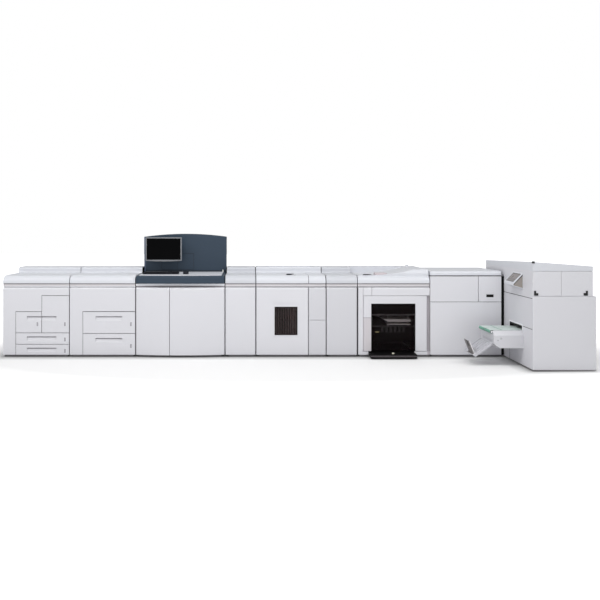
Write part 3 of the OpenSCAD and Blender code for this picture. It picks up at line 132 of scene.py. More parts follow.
class Shader(Tree):
    """A material with a principled shader, placed by the object's own coordinates."""

    def __init__(self, name):
        self.material = bpy.data.materials.new(name)
        super().__init__(self.material)
        self.bsdf = self.node("BsdfPrincipled")
        self.node("OutputMaterial", {"Surface": self.bsdf.outputs[0]})
        self.place = self.node("TexCoord").outputs["Object"]

    def set(self, **values):
        """Sets or links inputs of the shader, with _ for a blank."""
        for socket, value in values.items():
            self.put(self.bsdf, socket.replace("_", " "), value)

    def noise(self, scale, detail=2.0, stretch=None):
        """Noise over the object from 0 to 1, stretched along the axes if asked."""
        place = self.place
        if stretch:
            place = self.node("Mapping", {"Vector": place, "Scale": stretch}).outputs[0]
        return self.node("TexNoise", {"Vector": place, "Scale": scale, "Detail": detail}).outputs[0]

    def mix(self, factor, first, second):
        """Mix of two colours or outputs of nodes."""
        made = self.node("Mix", {"Factor": factor, "A": first, "B": second}, data_type="RGBA")
        return made.outputs["Result"]

    def axis(self, name):
        """One of the object's coordinates, X, Y or Z."""
        return self.node("SeparateXYZ", {0: self.place}).outputs[name]

    def inside(self, spans):
        """1 inside a box of X, Y and Z spans, each (low, high) or None for all, and 0 outside."""
        mask = 1.0
        for name, ends in zip("XYZ", spans):
            if ends:
                value = self.axis(name)
                for operation, limit in zip(("GREATER_THAN", "LESS_THAN"), ends):
                    mask = self.math("MULTIPLY", mask, self.math(operation, value, limit))
        return mask

    def bump(self, height, strength, distance):
        made = self.node("Bump", {"Height": height, "Strength": strength, "Distance": distance})
        self.set(Normal=made.outputs[0])


def coated(name, colour, rough=0.42, grain=900.0, spread=0.02, zones=(), mirror=0.4):
    """Painted sheet metal or moulded plastic: fine grain, faint clouds of tone, patchy gloss.

    Each zone is (X span, Y span, Z span, colour): the part inside it has that other colour."""
    s = Shader(name)
    base = s.mix(s.noise(1.7, 3.0), shade(colour, 1 - spread), shade(colour, 1 + spread))
    for *spans, other in zones:
        base = s.mix(s.inside(spans), base, other)
    gloss = s.ramp(s.noise(14.0), 0.3, 0.7, rough - 0.05, rough + 0.05)
    s.set(Base_Color=base, Roughness=gloss, Specular_IOR_Level=mirror)
    s.bump(s.noise(grain, 1.0), 0.12, 0.0004)
    return s.material


def moulded(name, colour=HOOD, zones=()):
    """The smooth plastic of the hoods."""
    return coated(name, colour, rough=0.38, grain=700.0, zones=zones)


def brushed(name, colour, rough=0.34):
    """Brushed metal, with its lines along X."""
    s = Shader(name)
    lines = s.noise(60.0, 4.0, (1.0, 40.0, 40.0))
    gloss = s.ramp(lines, 0.3, 0.7, rough - 0.08, rough + 0.1)
    s.set(Base_Color=s.mix(lines, shade(colour, 0.86), shade(colour, 1.12)), Roughness=gloss, Metallic=0.85)
    s.bump(lines, 0.1, 0.0003)
    return s.material


def rubbery(name, colour, rough=0.62, sheen=0.1):
    """Rubber or matt black moulding."""
    s = Shader(name)
    base = s.mix(s.noise(9.0, 4.0), shade(colour, 0.85), shade(colour, 1.15))
    gloss = s.ramp(s.noise(40.0), 0.3, 0.7, rough - 0.08, rough + 0.08)
    s.set(Base_Color=base, Roughness=gloss, Sheen_Weight=sheen)
    s.bump(s.noise(500.0, 2.0), 0.2, 0.0005)
    return s.material


def belting(name, edge, cover, top):
    """Belting: a fine weave in a pale cover, on a core that shows at its edges."""
    s = Shader(name)
    waves = {"Vector": s.place, "Scale": 260.0}
    weave = s.node("TexWave", waves, wave_type="BANDS", bands_direction="DIAGONAL").outputs[0]
    core = s.mix(s.noise(16.0, 3.0, (1.0, 6.0, 1.0)), shade(edge, 0.93), shade(edge, 1.06))
    above = s.ramp(s.axis("Z"), top - 3 * MM, top - MM, 0.0, 1.0)
    s.set(Base_Color=s.mix(above, core, cover), Roughness=s.ramp(s.noise(30.0), 0.3, 0.7, 0.36, 0.5))
    s.bump(weave, 0.15, 0.0003)
    return s.material


def glossy(name, colour, rough, coat, mirror=0.5):
    """Smooth dark glass or lacquer that shows faint smears."""
    s = Shader(name)
    base = s.mix(s.noise(3.0, 3.0), shade(colour, 0.9), shade(colour, 1.1))
    gloss = s.ramp(s.noise(7.0, 5.0), 0.35, 0.7, rough, rough + 0.08)
    s.set(Base_Color=base, Roughness=gloss, Coat_Weight=coat, Coat_Roughness=0.05, Specular_IOR_Level=mirror)
    return s.material


def tinted(name, colour, transparent, mirror, streak=0.2):
    """Tinted sheet: partly see-through without bending the light, with a clear gloss."""
    s = Shader(name)
    streaks = s.ramp(s.noise(4.0, 2.0, (3.0, 1.0, 0.1)), 0.35, 0.65, 0.0, 1.0)
    base = s.mix(streaks, shade(colour, 1 - streak), shade(colour, 1 + streak))
    gloss = s.ramp(s.noise(6.0, 4.0), 0.3, 0.7, 0.07, 0.12)
    s.set(Base_Color=base, Roughness=gloss, Alpha=1.0 - transparent, Specular_IOR_Level=mirror)
    return s.material


panel_paint = coated("panel_paint", PANEL)
device_plastic = coated("device_plastic", srgb(34, 36, 42), rough=0.55, grain=600.0, spread=0.06, mirror=0.12)
bezel_plastic = coated("bezel_plastic", srgb(122, 124, 128), rough=0.4, grain=600.0, spread=0.03)
matt_black = rubbery("matt_black", srgb(26, 26, 28))
seal_rubber = rubbery("seal_rubber", RUBBER, rough=0.75, sheen=0.0)
gap_black = rubbery("gap_black", srgb(14, 12, 12), rough=0.8)
gasket = rubbery("gasket", srgb(30, 28, 28), rough=0.7)
steel = brushed("steel", srgb(168, 168, 172))
bright_steel = brushed("bright_steel", srgb(205, 205, 210), rough=0.25)

# -------- camera, floor and lamps

FLOOR_GREY = 0.84      # the floor's colour
FLOOR_LIFT = 0.03      # white that it adds near the machines
FLOOR_FADE = (1.2, 2.2)  # where it fades to plain white, from its middle
FLOOR_SQUEEZE = (0.35, 1.0, 1.0)  # the fade reaches further along the line
# Painted soft shadow on the floor round the machines' feet
FOOT_REACH = 0.18      # how far the soft shadow of the feet reaches
FOOT_SHARE = 0.5       # the floor's brightness at the feet
FLOOR_HALF = 30.0
WORLD_LIGHT = 0.52
WHITE = (1.0, 1.0, 1.0, 1.0)


def link(name, data, place=(0, 0, 0)):
    """A new object in the scene."""
    made = bpy.data.objects.new(name, data)
    made.location = place
    bpy.context.collection.objects.link(made)
    return made


def camera(place, lens, shift):
    """Camera that looks level at the front of the line."""
    data = bpy.data.cameras.new("camera")
    data.lens = lens
    data.shift_x, data.shift_y = shift
    made = link("camera", data, place)
    made.rotation_euler = (math.pi / 2, 0, 0)
    bpy.context.scene.camera = made


def area_lamp(name, place, aim, size, power):
    data = bpy.data.lights.new(name, "AREA")
    data.shape = "RECTANGLE"
    data.size, data.size_y = size
    data.energy = power
    made = link(name, data, place)
    made.rotation_euler = (Vector(aim) - Vector(place)).to_track_quat("-Z", "Y").to_euler()


def sky():
    """White behind the object and a softer white light all round."""
    world = bpy.data.worlds.new("world")
    bpy.context.scene.world = world
    tree = Tree(world)
    strength = tree.ramp(tree.node("LightPath").outputs["Is Camera Ray"], 0.0, 1.0, WORLD_LIGHT, 1.0)
    back = tree.node("Background", {"Color": WHITE, "Strength": strength})
    tree.node("OutputWorld", {"Surface": back.outputs[0]})


def white_where_seen(tree, shader, share):
    """Adds white to a shader where it is seen, straight or by reflection."""
    rays = tree.node("LightPath").outputs
    seen = tree.math("MAXIMUM", rays["Is Glossy Ray"], rays["Is Transmission Ray"])
    seen = tree.math("MAXIMUM", rays["Is Camera Ray"], seen)
    glow = tree.node("Emission", {"Strength": tree.math("MULTIPLY", seen, share)})
    return tree.node("AddShader", {0: shader, 1: glow.outputs[0]}).outputs[0]


def beside(tree, place, node):
    """How far a point of the floor lies outside the footprint of a node."""
    lo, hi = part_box(node)
    away = tree.vector("ABSOLUTE", tree.vector("SUBTRACT", place, (lo + hi) / 2))
    outside = tree.vector("MAXIMUM", tree.vector("SUBTRACT", away, (hi - lo) / 2))
    return tree.vector("LENGTH", tree.vector("MULTIPLY", outside, (1, 1, 0)))


def ground():
    """Pale floor: darker close to the machines as a painted soft shadow, and white far off."""
    data = bpy.data.meshes.new("floor")
    corners = [(x * FLOOR_HALF, y * FLOOR_HALF, 0) for x, y in ((-1, -1), (1, -1), (1, 1), (-1, 1))]
    data.from_pydata(corners, [], [(0, 1, 2, 3)])
    floor = link("floor", data)
    paint = bpy.data.materials.new("floor")
    tree = Tree(paint)
    place = tree.node("TexCoord").outputs["Object"]
    nearest = tree.math("MINIMUM", beside(tree, place, "line_plinth"), beside(tree, place, "booklet_plinth"))
    grey = tree.ramp(nearest, 0.0, FOOT_REACH, FLOOR_GREY * FOOT_SHARE, FLOOR_GREY)
    matt = tree.node("BsdfDiffuse", {"Color": grey}).outputs[0]
    squeezed = tree.node("Mapping", {"Vector": place, "Scale": FLOOR_SQUEEZE}).outputs[0]
    fade = tree.ramp(tree.vector("LENGTH", squeezed), *FLOOR_FADE, 0.0, 1.0)
    near, far = (white_where_seen(tree, matt, share) for share in (FLOOR_LIFT, 1.0))
    blend = tree.node("MixShader", {0: fade, 1: near, 2: far})
    tree.node("OutputMaterial", {"Surface": blend.outputs[0]})
    data.materials.append(paint)


camera((-0.3825, -7.6975, 1.545), lens=38.6, shift=(0.083, -0.12))
sky()
ground()
area_lamp("key", (-0.6, -2.2, 3.9), (-0.6, 0.0, 0.5), (11.0, 1.2), 198.0)
area_lamp("fill", (-1.5, -8.0, 3.0), (-0.5, 0.0, 0.5), (5.0, 5.0), 50.0)
bpy.context.scene.view_settings.view_transform = "Standard"

# -------- meshes

CREASE_ANGLE = math.radians(35)


def soften(obj, width):
    """Rounds the creases of an object and keeps its flat faces flat."""
    bevel = obj.modifiers.new("edges", "BEVEL")
    bevel.width = width
    bevel.segments = 2
    bevel.limit_method = "ANGLE"
    bevel.angle_limit = CREASE_ANGLE
    bevel.use_clamp_overlap = True
    weighted = obj.modifiers.new("normals", "WEIGHTED_NORMAL")
    weighted.keep_sharp = True


class Solid:
    """A piece's mesh, made of closed forms, whose points count in a unit from a place."""

    def __init__(self, place=(0, 0, 0), unit=1.0):
        self.mesh = bmesh.new()
        self.place = Vector(place)
        self.unit = unit

    def vert(self, point):
        return self.mesh.verts.new(self.place + self.unit * Vector(point))

    def bridge(self, a, b):
        """Faces between two loops of points."""
        for i in range(len(a)):
            j = (i + 1) % len(a)
            self.mesh.faces.new((a[i], a[j], b[j], b[i]))

    def skin(self, rings):
        """Skin over rings of points, with a cap on the first and on the last."""
        loops = [[self.vert(point) for point in ring] for ring in rings]
        for a, b in zip(loops, loops[1:]):
            self.bridge(a, b)
        self.mesh.faces.new(loops[0][::-1])
        self.mesh.faces.new(loops[-1])
        return self

    def block(self, x0, x1, y0, y1, z0, z1):
        """Box between two places on each axis."""
        return self.skin([[(x0, y0, z), (x1, y0, z), (x1, y1, z), (x0, y1, z)] for z in (z0, z1)])

    def prism(self, outline, axis, start, end):
        """Outline of points across an axis, drawn out along it from start to end."""
        def point(u, v, w):
            return {"x": (w, u, v), "y": (u, w, v), "z": (u, v, w)}[axis]
        return self.skin([[point(u, v, w) for u, v in outline] for w in (start, end)])

    def rod(self, start, end, radius, tip=None, sides=20):
        """Round bar from start to end, with another radius at its tip if given."""
        start, end = Vector(start), Vector(end)
        turn = (end - start).to_track_quat("Z", "Y")
        rings = []
        for centre, r in ((start, radius), (end, radius if tip is None else tip)):
            angles = [2 * math.pi * i / sides for i in range(sides)]
            rings.append([centre + turn @ Vector((r * math.cos(a), r * math.sin(a), 0)) for a in angles])
        return self.skin(rings)

    def frame(self, x0, x1, z0, z1, border, y0, y1):
        """Flat rectangular frame in the front view, with its border inside the edges."""
        loops = []
        for b in (0, border):
            outline = [(x0 + b, z0 + b), (x1 - b, z0 + b), (x1 - b, z1 - b), (x0 + b, z1 - b)]
            loops += [[self.vert((x, y, z)) for x, z in outline] for y in (y0, y1)]
        outer_front, outer_back, inner_front, inner_back = loops
        self.bridge(outer_front, outer_back)
        self.bridge(outer_back, inner_back)
        self.bridge(inner_back, inner_front)
        self.bridge(inner_front, outer_front)
        return self

    def done(self, name, material, slot, edge=0.0, body=LINE, turn=None):
        """Finishes the piece, riding on a body, with rounded edges (in millimetres)."""
        if turn is not None:
            self.mesh.transform(turn)
        bmesh.ops.recalc_face_normals(self.mesh, faces=self.mesh.faces)
        data = bpy.data.meshes.new(name)
        self.mesh.to_mesh(data)
        self.mesh.free()
        data.materials.append(material)
        for polygon in data.polygons:
            polygon.use_smooth = True
        data.set_sharp_from_angle(angle=CREASE_ANGLE)
        obj = link(name, data)
        if edge:
            soften(obj, edge * MM)
        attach(obj, body)


def rounded(half_u, half_v, r, steps=6):
    """Outline of a rectangle with round corners, from half its sizes."""
    outline = []
    for corner, (u, v) in enumerate(((1, 1), (-1, 1), (-1, -1), (1, -1))):
        for i in range(steps + 1):
            a = (corner + i / steps) * math.pi / 2
            outline.append((u * (half_u - r) + r * math.cos(a), v * (half_v - r) + r * math.sin(a)))
    return outline


def near(x=0, y=0, z=0):
    """A Solid whose points count in millimetres from a place."""
    return Solid((x, y, z), MM)


def knob(x, y, z, foot, shoulder, top, radius):
    """Upright round knob near a place, narrower above its shoulder."""
    made = near(x, y, z).rod((0, 0, foot), (0, 0, shoulder), radius, sides=28)
    return made.rod((0, 0, shoulder), (0, 0, top), radius, 12, sides=28)


def row(first, last, count):
    """Places from first to last at equal steps."""
    return [first + i * (last - first) / (count - 1) for i in range(count)]


def span(place, start=-1.0, end=1.0):
    """Stretch of an axis, from start to end in millimetres past a place."""
    return place + start * MM, place + end * MM


# -------- zones in the paint

HOODS_TOP = high("feeder_hoods").z
HOOD_LIP = HOODS_TOP - 70 * MM
LINE_REAR = high("feeder_a_cabinet").y
FRONT = low("feeder_a_cabinet").y
PANELS_TOP = 0.84
BAND_FOOT, BAND_PALE, BAND_SHADOW_LINE, BAND_TOP = 0.8402, 0.8525, 0.8715, 0.8818
SERVICE_LEVELS = ((0.07, 0.44), (0.47, 0.80))
VENT_LEVELS = (0.288, 0.36)
VENT_GREY = srgb(60, 58, 62)


def level(z0, z1, colour):
    """Zone between two heights."""
    return None, None, (z0, z1), colour


def sunk_outline(*spans):
    """Zones that draw the seam round a flush panel on a plain face."""
    width = 4 * MM
    inner = [(a, b) if b - a < 3 * width else (a + width, b - width) for a, b in spans]
    return [(*spans, REAR_LINE), (*inner, PANEL)]


def rear_of(*names):
    """Seams of two service panels and a vent on the rear, as wide as each node."""
    zones = []
    for name in names:
        x0, x1 = low(name).x, high(name).x
        for levels in SERVICE_LEVELS:
            zones += sunk_outline((x0 + 30 * MM, x1 - 30 * MM), span(LINE_REAR), levels)
        middle, half = (x0 + x1) / 2, (x1 - x0) * 0.22
        for z in row(*VENT_LEVELS, 5):
            zones.append(((middle - half, middle + half), span(LINE_REAR), span(z, 0, 7), VENT_GREY))
    return zones


# Painted shade in the band sunk under the hood lips: a little darker than the panels, with a dark line at its
# top as a painted shadow under the lip, and on the footed version a darker line at its foot as painted shade.
band = [level(BAND_PALE, BAND_TOP, srgb(208, 204, 207)), level(BAND_SHADOW_LINE, BAND_TOP, srgb(122, 118, 122))]
footed_band = band + [level(BAND_FOOT, BAND_FOOT + 6 * MM, srgb(150, 146, 150))]
# The engine's band is painted lighter than the panels as painted light against the shade of the ledge above,
# with a darker strip at its foot and a dark line at its top under the ledge, both painted shade.
engine_band = [level(BAND_FOOT, BAND_TOP, srgb(246, 247, 252)),
               level(BAND_FOOT, BAND_PALE, srgb(140, 136, 142)),
               level(BAND_TOP - 5.3 * MM, BAND_TOP, srgb(90, 90, 96))]

# -------- finishes of the CAD nodes

FLAT_ANGLE = math.radians(0.4)
NO_EDGE = {"monitor_screen", "touch_screen", "stacker_a_window", "stacker_b_window", "docking_seals"}
EDGE = 2  # millimetres of rounding, apart from the nodes that follow
OTHER_EDGES = {"delivery_tray": 1, "tray_end_stop": 1, "stacker_b_guides": 1, "mouse": 3, "booklet_lid": 4,
               "booklet_front_cover": 3, "monitor_housing": 3, "touch_screen_housing": 3, "console_panel": 5}

FEEDERS = {"a": ("left", "tall", "middle", "bottom"), "b": ("upper", "lower")}
DRAWERS = {part + "_drawer": f"feeder_{feeder}_drawer_{part}"
           for feeder in FEEDERS for part in FEEDERS[feeder]}
SEAM_REACH = 4.5 * MM
# The painted shadow line above three drawers reaches further up than the other seams
TOP_SHADOW_REACH = {"left_drawer": 6 * MM, "tall_drawer": 6 * MM, "upper_drawer": 7.5 * MM}


def finish(material, *names):
    """Gives CAD nodes their material, merges their flat faces and rounds their edges."""
    for name in names:
        node = nodes[name]
        node.data.materials.clear()
        node.data.materials.append(material)
        merge = node.modifiers.new("flats", "DECIMATE")
        merge.decimate_type = "DISSOLVE"
        merge.angle_limit = FLAT_ANGLE
        if name not in NO_EDGE:
            soften(node, OTHER_EDGES.get(name, EDGE) * MM)


def feeder_finish():
    """Feeders' cabinets, with painted shade in the drawers' rooms and a little beside them, a thicker painted
    shadow line above three drawers, and painted shade in the band under the hoods.
    """
    zones = list(band)
    for body, node in DRAWERS.items():
        lo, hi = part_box(node)
        z_span = (lo.z - SEAM_REACH, hi.z + TOP_SHADOW_REACH.get(body, SEAM_REACH))
        zones.append(((lo.x - SEAM_REACH, hi.x + SEAM_REACH), span(FRONT, -1, 35.5), z_span, SEAM))
    zones += rear_of("feeder_a_cabinet", "feeder_b_cabinet")
    zones += sunk_outline(span(low("feeder_a_cabinet").x), (0.06, 0.72), (0.07, 0.80))
    return coated("feeder_paint", PANEL, zones=zones)


def drawer_finish():
    """Drawers, with dark painted shade just behind their faces and grey painted shade in the handle slots."""
    zones = [(None, span(FRONT, 0.4, 9), None, SEAM)]
    for body in DRAWERS:
        lo, hi = openings[body + "_grip"]
        x_span = (lo.x - MM, hi.x + MM)
        zones.append((x_span, None, span(lo.z, -45, 0), PANEL))
        zones.append((x_span, None, (lo.z, hi.z + MM), srgb(146, 144, 150)))
    return coated("drawer_paint", PANEL, zones=zones)


def stacker_a_hood_finish():
    """First stacker's hood, with painted shade in a dark slot in its step, and a seam across."""
    lo, seam = low("stacker_a_hood"), high("stacker_a_door").x
    slot = (span(lo.x, 356, 483), (0.098, 0.1395), (lo.z, HOOD_LIP - 0.5 * MM), GRAPHITE)
    return moulded("hood_a_plastic", zones=[slot, (span(seam, 0.2, 5.8), (lo.y + MM, 0.5), None, SEAM)])


def stacker_b_hood_finish():
    """Second stacker's hood, with a warmer raised part and painted shade in a dark slot in its step."""
    x = low("stacker_b_hood").x
    raised = (span(x, 218, 360), (0.071, 0.184), span(HOOD_LIP, 0.5, 30), srgb(196, 186, 190))
    slot = (span(x, 69, 181), (0.0915, 0.1135), span(HOOD_LIP, -20, -0.5), GRAPHITE)
    return moulded("hood_b_plastic", zones=[raised, slot])


def stacker_b_finish():
    """Second stacker, with a painted shadow on the column right of the door, black painted shade in the lane
    for the cart, a dark left edge, and painted shade in the band under the hood.
    """
    lo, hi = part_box("stacker_b_cabinet")
    door_lo, door_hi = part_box("stacker_b_door")
    column = ((door_hi.x + 2 * MM, hi.x + MM), None, (lo.z, door_hi.z), srgb(176, 172, 178))
    lane = ((door_lo.x, door_hi.x), (0.03, 0.66), (0.0, 0.0755), srgb(9, 8, 9))
    edge = (span(lo.x, -1, 2.5), span(lo.y, -1, 8), (lo.z, PANELS_TOP), SEAM)
    zones = footed_band + [column, lane, edge] + rear_of("stacker_b_cabinet")
    return coated("stacker_b_paint", PANEL, zones=zones)


def stacker_b_door_finish():
    """Large door, whose left stile is painted darker as shade up to a line."""
    lo, line_foot, line_top = low("stacker_b_door"), 0.467, 0.474
    stile = ((lo.x - MM, low("stacker_b_window").x + 8 * MM), span(lo.y, -1, 12))
    zones = [(*stile, (lo.z - MM, line_foot), srgb(200, 196, 200)),
             (*stile, (line_foot, line_top), srgb(160, 156, 160))]
    return coated("door_b_paint", PANEL, zones=zones)


def booklet_finish():
    """Booklet maker, with seams on its left side and painted shade along its foot."""
    lo, (slot_lo, slot_hi) = low("booklet_cabinet"), openings["belt_slot"]
    side = span(lo.x, 0.4, 7)
    zones = [(side, None, (0.7795, 0.7875), SEAM),
             (side, (lo.y - MM, slot_lo.y - MM), span(slot_hi.z, -6, 2), SEAM),
             (side, span(slot_hi.y, 1.5, 9.5), (0.0, slot_hi.z), SEAM),
             level(0.0, lo.z + 7 * MM, FOOT_SHADE)]
    return coated("booklet_paint", PANEL, zones=zones)


def console_finish(name, zones=()):
    return coated(name, CONSOLE, rough=0.45, spread=0.03, mirror=0.25, zones=zones)


def console_panel_finish():
    """Tall panel, with dark grooves, a painted shadow along its foot and a paler left edge."""
    lo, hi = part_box("console_panel")
    ledge = high("console_ledge").z
    foot = ledge + 26 * MM
    zones = [(None, span(lo.y, 0.4, 4), (foot, hi.z - 60 * MM), srgb(22, 28, 36)),
             level(ledge, foot, srgb(36, 45, 54)),
             (span(lo.x, -10, 22), None, (ledge, 2.0), srgb(84, 95, 116))]
    return console_finish("console_back", zones)


finish(drawer_finish(), *DRAWERS.values())
finish(panel_paint, "engine_door_left", "engine_door_right", "transport_a_door", "stacker_a_door",
       "stacker_b_fascia", "interface_panels", "booklet_upper_doors")
finish(feeder_finish(), "feeder_a_cabinet", "feeder_b_cabinet")
finish(coated("engine_paint", PANEL, zones=engine_band + rear_of("engine_cabinet")), "engine_cabinet")
finish(coated("transport_paint", PANEL, zones=footed_band + rear_of("transport_a_door", "transport_b_door")),
       "transport_cabinets")
finish(coated("stacker_a_paint", PANEL, zones=footed_band + rear_of("stacker_a_cabinet")),
       "stacker_a_cabinet")
finish(stacker_b_finish(), "stacker_b_cabinet")
finish(stacker_b_door_finish(), "stacker_b_door")
finish(booklet_finish(), "booklet_cabinet")
# The transport hoods get a darker copy of the hood plastic, as painted shade
finish(moulded("transport_hood_shaded_plastic", srgb(196, 198, 204)), "transport_hoods")
finish(moulded("hood_plastic"), "feeder_hoods", "booklet_lid", "touch_screen_housing", "work_surface")
finish(stacker_a_hood_finish(), "stacker_a_hood")
finish(stacker_b_hood_finish(), "stacker_b_hood")
finish(console_finish("console_plastic"), "console_ledge")
finish(console_panel_finish(), "console_panel")
finish(bezel_plastic, "monitor_housing")
finish(device_plastic, "keyboard", "mouse")
finish(glossy("screen_gloss", srgb(3, 3, 4), 0.12, 0.0, mirror=0.03), "monitor_screen")
finish(glossy("touch_gloss", srgb(112, 108, 108), 0.25, 0.2), "touch_screen")
finish(tinted("small_glass", srgb(44, 35, 35), 0.5, 0.15, streak=0.4), "stacker_a_window")
finish(tinted("large_glass", srgb(16, 8, 10), 0.72, 0.1), "stacker_b_window")
finish(steel, "conveyor_rollers")
finish(coated("tray_paint", srgb(190, 190, 196), rough=0.4), "delivery_tray")
finish(belting("belt_rubber", srgb(106, 164, 142), srgb(204, 216, 212), high("conveyor_belts").z),
       "conveyor_belts")
finish(seal_rubber, "corner_latches")

# Panels painted darker as painted shade, with dark edges on the second transport door
edges = [(span(low("transport_b_door").x, -1, 1.5), None, None, SEAM),
         (span(high("transport_b_door").x, -4, 1), None, None, SEAM)]
finish(coated("shaded_paint", srgb(203, 203, 208), zones=edges), "transport_b_door", "stacker_a_side_panels")

# Painted shade along the foot of the booklet maker's cover, and a painted shadow in the gap under the domed
# hood
foot = level(0.0, low("booklet_front_cover").z + 7 * MM, FOOT_SHADE)
finish(coated("cover_paint", PANEL, zones=[foot]), "booklet_front_cover")
foot = level(*span(low("interface_hood").z, -1, 11.8), srgb(70, 66, 70))
finish(moulded("dome_plastic", zones=[foot]), "interface_hood")

# Dark between the panels of the interface module
gaps = (None, span(low("interface_cabinet").y), None, SEAM)
finish(coated("interface_paint", PANEL, zones=[gaps] + rear_of("interface_cabinet")), "interface_cabinet")

# Painted shade on the nose of the belt unit's frame, and on the end stop a dark grey body as painted shade
# with a bright front edge as a painted highlight
nose = (span(low("conveyor_frame").x, -1, 23.7), None, None, srgb(40, 44, 44))
finish(coated("conveyor_paint", shade(PANEL, 0.93), zones=[nose]), "conveyor_frame")
edge = (None, span(low("tray_end_stop").y, -1, 6), None, srgb(236, 234, 236))
finish(coated("stop_shade_grey", srgb(112, 108, 108), rough=0.4, spread=0.06, zones=[edge]), "tray_end_stop")

# Paper guides, painted pale as painted light in the dim room behind the glass, and darker at two heights
dark = [level(0.2, 0.345, srgb(60, 56, 58)), level(0.44, 0.6, srgb(140, 132, 134))]
finish(coated("guide_paint", srgb(222, 212, 212), rough=0.45, spread=0.06, zones=dark), "stacker_b_guides")

# A paler line along the cart's front bar as a painted highlight on its edge, and a paler line along the foot
# of the plinths
line = (None, span(low("stacker_b_cart").y, -1, 2), (0.033, 0.043), srgb(96, 90, 94))
finish(coated("cart_paint", srgb(7, 6, 7), rough=0.6, spread=0.08, mirror=0.12, zones=[line]),
       "stacker_b_cart")
line = (None, (0.0155, 0.0175), (0.0, 0.0195), srgb(122, 120, 124))
finish(coated("plinth_paint", srgb(34, 34, 36), rough=0.6, spread=0.1, zones=[line]),
       "line_plinth", "booklet_plinth")

# Docking seals, grey between the hoods at the left
grey = ((-3.4, -2.0), (0.06, 2.0), (HOOD_LIP, HOODS_TOP + MM), srgb(140, 138, 142))
finish(coated("docking_rubber", RUBBER, rough=0.75, mirror=0.1, zones=[grey]), "docking_seals")

# -------- feeders

LOW_DRAWERS = ("middle_drawer", "bottom_drawer")
FILL = 0.55            # how full the drawers are
SHEETS_PITCH = 9 * MM  # thickness of each of the packs in a stack

grip_paint = coated("grip_paint", srgb(176, 174, 180), rough=0.6)
gauge_lens = glossy("gauge_lens", srgb(158, 156, 162), 0.2, 0.3)
gauge_mark = coated("gauge_mark", srgb(206, 206, 210), rough=0.5)
paper_white = coated("paper_white", srgb(240, 240, 238), rough=0.9, grain=300.0)


def drawer_front(body, node):
    """Grey back of the handle slot, and the paper gauge's lens with its level marks."""
    lo, hi = openings[body + "_grip"]
    plate = Solid().block(lo.x + MM, hi.x - MM, *span(hi.y, -3.5, -2), lo.z, hi.z)
    plate.done("grip_back_" + body, grip_paint, "panel_white", body=body)

    drop = 30 * MM if body in LOW_DRAWERS else 88 * MM
    place = (high(node).x - 49 * MM, low(node).y + 1.5 * MM, (lo.z + hi.z) / 2 - drop)
    lens = near(*place).prism(rounded(8.4, 23.4, 8.3), "y", -1.2, 0.2)
    lens.done("gauge_lens_" + body, gauge_lens, "device_grey", 0.4, body)
    marks = near(*place)
    for mark in row(-16, 16, 5):
        marks.block(-3, 3, -1.6, -1, mark - 0.7, mark + 0.7)
    marks.done("gauge_marks_" + body, gauge_mark, "panel_white", body=body)


def drawer_contents(body):
    """Stack of paper and the guide behind it."""
    lo, hi = openings[body + "_inside"]
    foot, top = lo.z + MM, lo.z + FILL * (hi.z - lo.z)
    packs = max(3, int((top - lo.z) / SHEETS_PITCH))
    thick = (top - foot) / packs
    stack = Solid()
    for i in range(packs):
        nudge = 0.7 * MM * math.sin(2.4 * i)
        z = foot + i * thick
        stack.block(lo.x + 12 * MM + nudge, hi.x - 12 * MM + nudge, lo.y + 8 * MM, hi.y - 90 * MM,
                    z, z + thick - 0.3 * MM)
    stack.done("paper_stack_" + body, paper_white, "panel_white", body=body)

    x0, x1, y = lo.x + 20 * MM, hi.x - 20 * MM, hi.y - 60 * MM
    guide = Solid().block(x0, x1, y, y + 4 * MM, foot, top + 12 * MM)
    guide.block(x0, x1, y, y + 30 * MM, foot, foot + 3 * MM)
    guide.done("paper_guide_" + body, steel, "guide_steel", 0.5, body)


for body, node in DRAWERS.items():
    drawer_front(body, node)
    drawer_contents(body)

# -------- stackers

SHEET = 1.2 * MM
LAP = 8.7 * MM          # how far a window reaches behind its door
CART_LANE = 8 * MM      # gap in the floor lining on each side of the cart

# Near-black sheets that stand in for the shade inside the stackers' rooms and the belts' tunnel, as painted
# shade
shade_black = coated("shade_black", srgb(14, 9, 10), rough=0.8, spread=0.1, mirror=0.1)
fittings_grey = coated("fittings_grey", srgb(60, 56, 58), rough=0.5, spread=0.05)
deck_black = coated("deck_black", srgb(10, 9, 10), rough=0.7, spread=0.1, mirror=0.1)

cart_lo, cart_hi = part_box("stacker_b_cart")
first_room = openings["first_stacker_room"]
second_lo = openings["second_stacker_lower_room"][0]
second_hi = openings["second_stacker_upper_room"][1]


def room_shade_sheets(name, lo, hi, floor_spans):
    """Dark sheets on a room's walls, back and ceiling, and on stretches of its floor, as painted shade inside
    the room.
    """
    made = Solid()
    for x in (lo.x - SHEET, hi.x):
        made.block(x, x + SHEET, lo.y, hi.y, lo.z, hi.z)
    made.block(lo.x, hi.x, hi.y, hi.y + SHEET, lo.z, hi.z)
    made.block(lo.x, hi.x, lo.y, hi.y, hi.z, hi.z + SHEET)
    for x0, x1 in floor_spans:
        made.block(x0, x1, lo.y, hi.y, lo.z - SHEET, lo.z)
    made.done(name, shade_black, "seal_black")


def elevator():
    """Elevator plate and its two guide rails in the first stacker."""
    lo, hi = first_room
    made = Solid()
    made.block(lo.x + 40 * MM, hi.x - 60 * MM, lo.y + 60 * MM, hi.y - 70 * MM, *span(lo.z, 60, 72))
    for x in (lo.x + 90 * MM, hi.x - 130 * MM):
        made.block(x, x + 26 * MM, *span(hi.y, -34, -12), lo.z + MM, hi.z - MM)
    made.block(lo.x + 90 * MM, hi.x - 104 * MM, *span(hi.y, -74, -34), *span(lo.z, 50, 84))
    made.done("first_stacker_elevator", fittings_grey, "guide_steel", 1.5)


